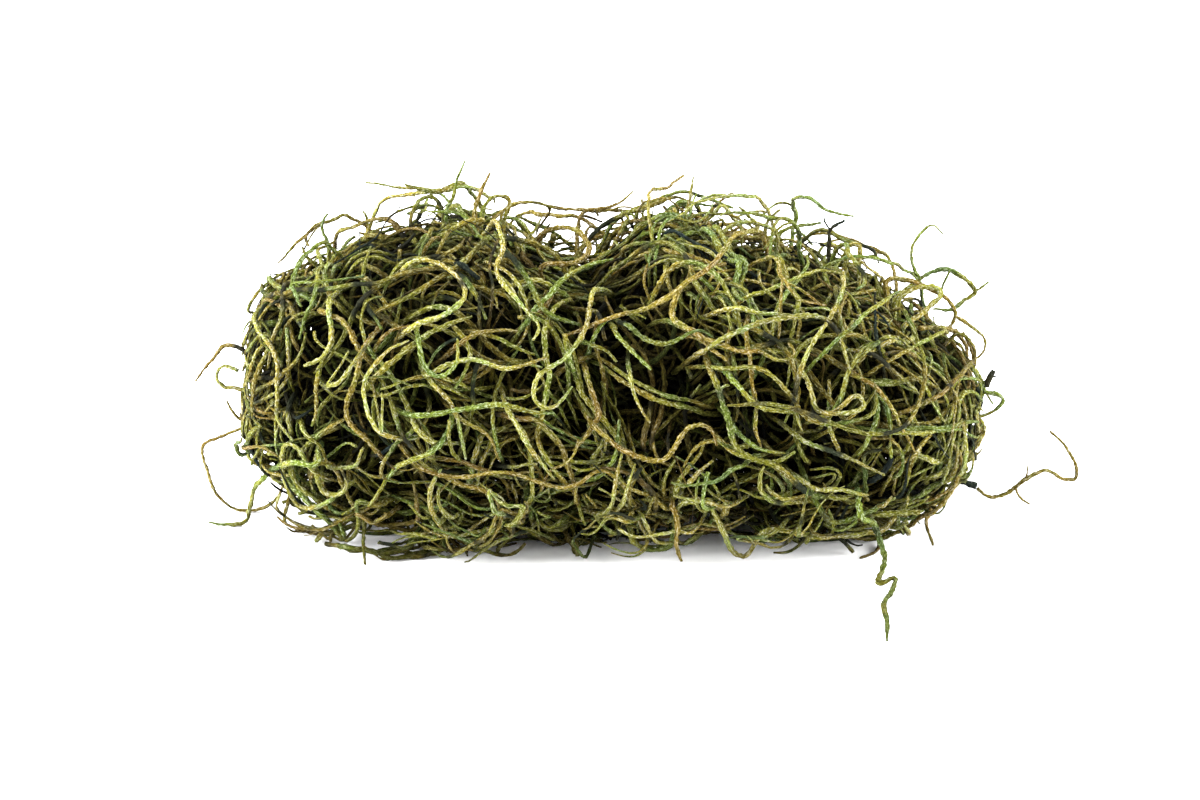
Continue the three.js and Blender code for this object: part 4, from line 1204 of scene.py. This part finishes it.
def strand_material(name, dye):
    """Dry scaly fibre: a body colour that drifts to warm and cool, dark stains, pits and rib
    valleys darkened partly with painted shade, pale scales, and painted shade on what lies deep."""
    material = bpy.data.materials.new(name)
    material.use_nodes = True
    tree = material.node_tree
    shader = tree.nodes["Principled BSDF"]
    scales = tree.nodes.new("ShaderNodeGroup")
    scales.node_tree = SCALES
    scales.inputs["Scales per mm"].default_value = 3.2
    scales.inputs["Ribs per mm"].default_value = 3.2
    ageing = tree.nodes.new("ShaderNodeGroup")
    ageing.node_tree = AGEING
    ageing.inputs["Patch Size"].default_value = 60
    base = mix(tree, ageing.outputs["Cool"], rgb(dye["body"]), rgb(dye["cool"]))
    base = mix(tree, ageing.outputs["Warm"], base, rgb(dye["warm"]))
    # Pits between the scales: partly their own darker colour, partly painted shade in the low
    # places
    pits = math_node(tree, "MULTIPLY", scales.outputs["Pits"], 0.7)
    base = mix(tree, pits, base, rgb(dye["shaded_pit"]))
    # Lengthwise streaks of the strand's own colour, with painted shade in the grooves between the
    # ribs
    streaks_and_groove_shade = ramp(tree, scales.outputs["Ribs"], (0, 0.5), (1, 1.0))
    base = mix(tree, 1.0, base, streaks_and_groove_shade, "MULTIPLY")
    flecks = math_node(tree, "MULTIPLY", scales.outputs["Flecks"], 0.66)
    base = mix(tree, flecks, base, rgb(dye["scale"]))
    stain = math_node(tree, "MULTIPLY", ageing.outputs["Stain"], 0.9)
    base = mix(tree, stain, base, rgb(STAIN))
    # Painted light and shade by how deep the strand lies, times its own tone
    base = mix(tree, 1.0, base, ageing.outputs["Light"], "MULTIPLY")
    link(tree, base, shader.inputs["Base Color"])
    rough = ramp(tree, scales.outputs["Flecks"], (0.0, 0.78), (1.0, 0.95))
    link(tree, rough, shader.inputs["Roughness"])
    shader.inputs["Specular IOR Level"].default_value = 0.04
    bump = node(tree, "ShaderNodeBump", Height=scales.outputs["Height"], Strength=1.0,
                Distance=0.0004)
    link(tree, bump.outputs["Normal"], shader.inputs["Normal"])
    return material


def floor_material():
    material = bpy.data.materials.new("pale studio floor")
    material.use_nodes = True
    tree = material.node_tree
    shader = tree.nodes["Principled BSDF"]
    where = tree.nodes.new("ShaderNodeTexCoord").outputs["Object"]
    cloud = node(tree, "ShaderNodeTexNoise", Vector=where, Scale=3.0)
    tint = mix(tree, cloud.outputs["Fac"], (0.86, 0.86, 0.865, 1), (0.9, 0.9, 0.9, 1))
    link(tree, tint, shader.inputs["Base Color"])
    shader.inputs["Roughness"].default_value = 0.9
    return material


# The bunch


def make_core():
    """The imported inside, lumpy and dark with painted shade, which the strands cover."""
    name = "moss_packed_inside"
    lump_length, lumps_round = 7, 6
    bm = bmesh.new()
    bmesh.ops.create_icosphere(bm, subdivisions=5, radius=1)
    for vert in bm.verts:
        along, across, up = vert.co
        x = MIDDLE_X + (RIGHT_END - LEFT_END) / 2 * along
        ring = math.hypot(across, up)
        lump = noise.noise(Vector((x / lump_length, across * lumps_round, up * lumps_round)))
        level = CORE_LEVEL * (1 + CORE_LUMPS * lump) if ring > 1e-6 else 0
        px, py, pz = point_on(x, math.atan2(up, across), level)
        px = MIDDLE_X + (px - MIDDLE_X) * CORE_LENGTH
        vert.co = Vector((px, py, max(pz, CORE_CLEAR))) * MM
    bmesh.ops.recalc_face_normals(bm, faces=bm.faces)
    mesh = mesh_from(bm, name)
    count = len(mesh.vertices)
    give(mesh, "tone", [np.full(count, CORE_TONE)])
    give(mesh, "skin", [np.array([vert.co / MM for vert in mesh.vertices])])
    # The core's depth puts painted shade on it
    give(mesh, "depth", [np.full(count, CORE_SHADE_DEPTH)])
    place_piece(name, mesh, "olive", "moss_tangle")


def frame_strands():
    """The routes of the frame's own strands, laid by the same rules and draws."""
    strays = {}
    for name, stray in STRAYS.items():
        keys = ("level", "rooted", "both")
        main = through_space(stray["route"], **{k: stray[k] for k in keys if k in stray})
        forks = [np.array([seen(*spot) for spot in fork]) for fork in stray.get("forks", [])]
        strays[name] = [main, *forks]
    front = [through_space(route, level, both=both) for _, level, both, route in FRONT_STRANDS]
    edge = [through_space(route, both=both) for _, both, route in EDGE_STRANDS]
    apart, all_laid = Weave(), Weave()
    for parts in strays.values():
        for points in parts:
            apart.add(evenly(points))
            all_laid.add(evenly(points))
    for points in [*front, *edge]:
        all_laid.add(evenly(points))
    draw = draws(SEED)
    loose = {}
    for n in range(1, LOOSE + 1):
        points = wander_clear(draw, LOOSE_WAY, all_laid)
        apart.add(evenly(points))
        all_laid.add(evenly(points))
        loose[f"strand_loose_{n}"] = points
    fused = [wander_clear(draw, BACK_WAY, apart) for _ in range(BACK_FUSED)]
    fused += [wander_clear(draw, FRONT_WAY, apart) for _ in range(FRONT_FUSED)]
    return strays, loose, edge, fused


def waved(points, rng, more=1.0):
    """A strand's points with the small kinks and waves of a grown strand."""
    anywhere = 50
    place = Vector((0, anywhere * rng.random(), anywhere * rng.random()))
    size = WOBBLE * (0.5 + rng.random()) * more
    moved = np.array(points, float)
    for k in range(1, len(moved)):
        place.x = k * GROW_STEP / WOBBLE_LENGTH
        moved[k] += np.array(noise.noise_vector(place)) * size
    return moved


def woven(points, weave, radius):
    """A strand's points, pushed under what lies there already and then evened out."""
    moved = np.array([weave.pushed(list(p), section_outward(*p), radius) for p in points])
    moved[1:-1] = (moved[:-2] + 2 * moved[1:-1] + moved[2:]) / 4
    moved[:, 2] = np.maximum(moved[:, 2], radius)
    return moved


def beside(points, rng):
    """The course of a strand that runs along another one and slowly parts from it."""
    nearest, parts_by, curve = 1.1, 4, 1.6
    starts_late, stops_early = 0.25, 0.3
    count = len(points)
    out = np.array([section_outward(*p) for p in points])
    side = np.cross(np.gradient(points, axis=0), out)
    side /= np.linalg.norm(side, axis=1)[:, None] + 1e-9
    share = np.linspace(0, 1, count)
    if rng.random() < 0.5:
        share = share[::-1]
    gap = (nearest + parts_by * rng.random() * share**curve) * either_way(rng)
    first = int(count * starts_late * rng.random())
    last = count - int(count * stops_early * rng.random())
    return (points + side * gap[:, None])[first:last]


def over_end(end, rng):
    """A strand's points across one end of the bunch, where the others only pass round it."""
    inward = 1 if end < 0 else -1
    low, high, _ = section_at(end + 2 * inward)
    turn = math.pi * rng.random()
    half = drawn(rng, 9, 7)
    bow = drawn(rng, -2.5, 5)
    aside = drawn(rng, -6, 12)
    room = drawn(rng, 3.5, 5)
    squat, tucked_in, farthest, step = 0.8, 3, 30, 0.5
    points = []
    for share in np.linspace(-1, 1, 9):
        off = aside + bow * share * share
        y = half * share * math.cos(turn) - off * math.sin(turn)
        z = (low + high) / 2 + squat * (half * share * math.sin(turn) + off * math.cos(turn))
        x = end
        while level_of(x, y, z) > 1 and abs(x - end) < farthest:
            x += step * inward
        points.append((x + inward * (room + tucked_in * share**4), y, max(z, 1)))
    return np.array(points)


def pick_dye(rng, p):
    """A dye for a strand. Neighbours tend to share one."""
    drift = noise.noise(Vector([v / DYE_PATCH for v in p])) * DYE_DRIFT
    pick = (rng.random() + drift) % 1
    for dye, share in SHARES:
        if pick < share:
            return dye
        pick -= share
    return "olive"


def forked(points, plan, rng, lean=0.03):
    """The points of a side leaf that grows out of a strand and rises or dips by the lean."""
    tip_lifts = 0.07
    k = min(int(len(points) * drawn(rng, 0.3, 0.5)), len(points) - 2)
    start = points[k]
    ahead = [b - a for a, b in zip(start, points[k + 1])]
    out, _ = outward_at(*start)
    turn = drawn(rng, 0.5, 0.4) * either_way(rng)
    go = made_flat(turned(ahead, out, turn), out)
    level = level_of(*start)
    side = dict(plan, root=level, run=level + lean, tip=drawn(rng, level + lean, tip_lifts),
                kink=0, bend=SIDEWAYS_BEND * (rng.random() - 0.5),
                radius=plan["radius"] * LEAF_SHARE)
    return grow(start, go, drawn(rng, 5, 12), side)


class Bunch:
    """The bunch as far as it is laid: its draws, where strands lie, and the tangle's strands."""

    def __init__(self):
        self.rng = np.random.default_rng(FINE_SEED)
        self.weave = Weave()
        self.tangle = {}

    def keep(self, dye, points, strand):
        """Puts a strand with the others of its dye in the same quarter of the bunch."""
        across = "left" if np.mean([p[0] for p in points]) < 0 else "right"
        deep = "front" if np.mean([p[1] for p in points]) < FRONT_BEFORE else "back"
        self.tangle.setdefault((dye, deep, across), []).append(strand)

    def lay(self, dye, points, radius, sides, step, **looks):
        """Lays a strand in the tangle, where it pushes in those that come later."""
        self.weave.add(points, radius)
        self.keep(dye, points, Strand(points, radius, self.rng, sides, step, **looks))


def lay_strays(bunch, strays):
    """The strands that stand clear, each a piece of its own."""
    rng = bunch.rng
    looks = dict(step=0.7, fresh=0.7)
    for name, parts in strays.items():
        stray = STRAYS[name]
        radius = stray.get("radius", CLEAR_R)
        main = waved(evenly(parts[0], GROW_STEP), rng)
        strands = [Strand(main, radius, rng, sides=7, tip=stray.get("tip", SHARP), **looks)]
        strands += [Strand(fork, FORK_R, rng, sides=6, **looks) for fork in parts[1:]]
        make_piece(name + "_leafy", strands, stray["dye"], name)
        for points in parts:
            bunch.weave.add(evenly(points), radius)


def lay_loose(bunch, loose):
    """The strands that lie loose all round, each a piece of its own with its side leaves."""
    rng = bunch.rng
    for n, (name, points) in enumerate(loose.items(), start=1):
        radius = LOOSE_R * drawn(rng, 0.85, 0.3)
        points = waved(points, rng, LOOSE_WAVES)
        strands = [Strand(points, radius, rng, sides=6, step=0.8, fresh=0.25)]
        bunch.weave.add(evenly(points), radius)
        for _ in range(LOOSE_LEAVES):
            leaf = forked(points, dict(LEAF_PLAN, radius=radius), rng, LOOSE_LEAN)
            if len(leaf) >= FEWEST_OF_LEAF:
                thin = radius * LOOSE_LEAF_SHARE
                strands.append(Strand(leaf, thin, rng, sides=5, step=0.8, tip=0.8, fresh=0.2))
                bunch.weave.add(leaf, thin)
        make_piece(name + "_leafy", strands, LOOSE_DYES[n % len(LOOSE_DYES)], name)


def lay_by_hand(bunch, edge):
    """The strands that the front view shows one by one, the outermost first."""
    rng = bunch.rng
    rows = [(level, dye, tucked([laid(*spot, level) for spot in route], both))
            for dye, level, both, route in FRONT_STRANDS + FINE_FRONT_STRANDS]
    rows += [(1.0, dye, points) for (dye, _, _), points in zip(EDGE_STRANDS, edge)]
    rows.sort(key=lambda row: -row[0])
    for _, dye, points in rows:
        radius = FINE_R * drawn(rng, 0.85, 0.35)
        moved = woven(waved(evenly(points, GROW_STEP), rng), bunch.weave, radius)
        bunch.lay(dye, moved, radius, sides=6, step=0.5, fresh=0.1)


def lay_fused(bunch, fused):
    """The fine strands that run where the frame's tangle has its own."""
    rng = bunch.rng
    for points in fused:
        radius = FINE_R * drawn(rng, 0.9, 0.3)
        moved = woven(waved(points, rng), bunch.weave, radius)
        bunch.lay(pick_dye(rng, moved[0]), moved, radius, sides=6, step=1.1)


def lay_across_ends(bunch):
    """Strands across the two ends of the bunch, by turns."""
    rng = bunch.rng
    for end in [LEFT_END, RIGHT_END] * ACROSS_END:
        radius = FINE_R * drawn(rng, 0.75, 0.4)
        points = waved(evenly(over_end(end, rng), GROW_STEP), rng)
        bunch.lay(pick_dye(rng, points[0]), points, radius, sides=5, step=0.9)


def lay_layer(bunch, count, way, sides, step, pushed):
    """One layer of strands laid at random, and their pairs and side leaves if it is pushed."""
    rng, weave = bunch.rng, bunch.weave
    for _ in range(count):
        radius = FINE_R * (0.68 + 0.64 * rng.random() ** 1.4)
        kink = KINK * either_way(rng) if rng.random() < KINKED else 0
        points, plan = wander(rng.random, dict(way, radius=radius), sinks=True, kink=kink,
                              kink_at=drawn(rng, 10, 20))
        if len(points) < FEWEST:
            continue
        dye = pick_dye(rng, points[0])
        if rng.random() < (DARK_OUTSIDE if pushed else DARK_INSIDE):
            dye = "dark"
        moved = waved(points, rng)
        if pushed:
            moved = woven(moved, weave, radius)
            weave.add(moved, radius)
        tip = BLUNT if rng.random() < BLUNT_ENDED else SHARP
        bunch.keep(dye, moved, Strand(moved, radius, rng, sides, step, tip))
        if not pushed:
            continue
        if rng.random() < way["pairs"]:
            thin = radius * PAIR_SHARE
            other = woven(waved(beside(moved, rng), rng), weave, thin)
            bunch.lay(dye, other, thin, sides, step)
        if rng.random() < LEAFY:
            leaf = forked(moved, plan, rng)
            if len(leaf) >= FEWEST_OF_LEAF:
                bunch.lay(dye, leaf, radius * LEAF_SHARE, sides, step)


def lay_hairs(bunch):
    """The hairs, which push nothing in."""
    rng = bunch.rng
    for _ in range(HAIRS):
        points, _ = wander(rng.random, HAIR_WAY, sinks=True)
        if len(points) < FEWEST:
            continue
        dye = "dark" if rng.random() < 0.5 else "brown"
        bunch.keep(dye, points, Strand(waved(points, rng), HAIR_R, rng, sides=4, step=1.5))


def build():
    strays, loose, edge, fused = frame_strands()
    noise.seed_set(SEED)
    bunch = Bunch()
    lay_strays(bunch, strays)
    lay_loose(bunch, loose)
    lay_by_hand(bunch, edge)
    lay_fused(bunch, fused)
    lay_across_ends(bunch)
    for layer in LAYERS:
        lay_layer(bunch, *layer)
    lay_hairs(bunch)
    for key, strands in sorted(bunch.tangle.items()):
        make_piece("tangle_" + "_".join(key), strands, key[0], "moss_tangle")
    make_core()


# The scene around it


def make_floor():
    bm = bmesh.new()
    bmesh.ops.create_grid(bm, x_segments=1, y_segments=1, size=3)
    mesh = mesh_from(bm, "floor")
    mesh.materials.append(floor_material())
    floor = new_object("floor", mesh)


def make_lamp(name, place, size, power):
    lamp = bpy.data.lights.new(name, "AREA")
    lamp.size = size
    lamp.energy = power
    made = new_object(name, lamp)
    made.location = place
    aim = Vector(LAMP_AIM) - made.location
    made.rotation_euler = aim.to_track_quat("-Z", "Y").to_euler()


def make_studio():
    world = bpy.data.worlds.new("studio")
    world.use_nodes = True
    sky = world.node_tree.nodes["Background"]
    sky.inputs["Color"].default_value = (1, 1, 1, 1)
    sky.inputs["Strength"].default_value = 1.48
    bpy.context.scene.world = world
    make_lamp("lamp_key", (-0.3, 0.0, 1.07), 0.9, 37)
    make_lamp("lamp_left", (-0.9, -0.25, 0.3), 0.6, 54)
    make_lamp("lamp_right", (0.9, -0.25, 0.3), 0.6, 40)
    bpy.context.scene.view_settings.view_transform = "Standard"


def make_camera():
    data = bpy.data.cameras.new("camera")
    data.lens = 85
    data.sensor_width = 36
    camera = new_object("camera", data)
    back = Vector((0, -math.cos(VIEW_TILT), math.sin(VIEW_TILT))) * VIEW_DISTANCE
    camera.location = (Vector(VIEW_MIDDLE) + back) * MM
    camera.rotation_euler = (math.pi / 2 - VIEW_TILT, 0, 0)
    bpy.context.scene.camera = camera


SCALES = scales_group()
AGEING = ageing_group()
MATERIALS = {name: strand_material(f"{name} moss fibre", dye) for name, dye in DYES.items()}
make_camera()
make_studio()
make_floor()
build()
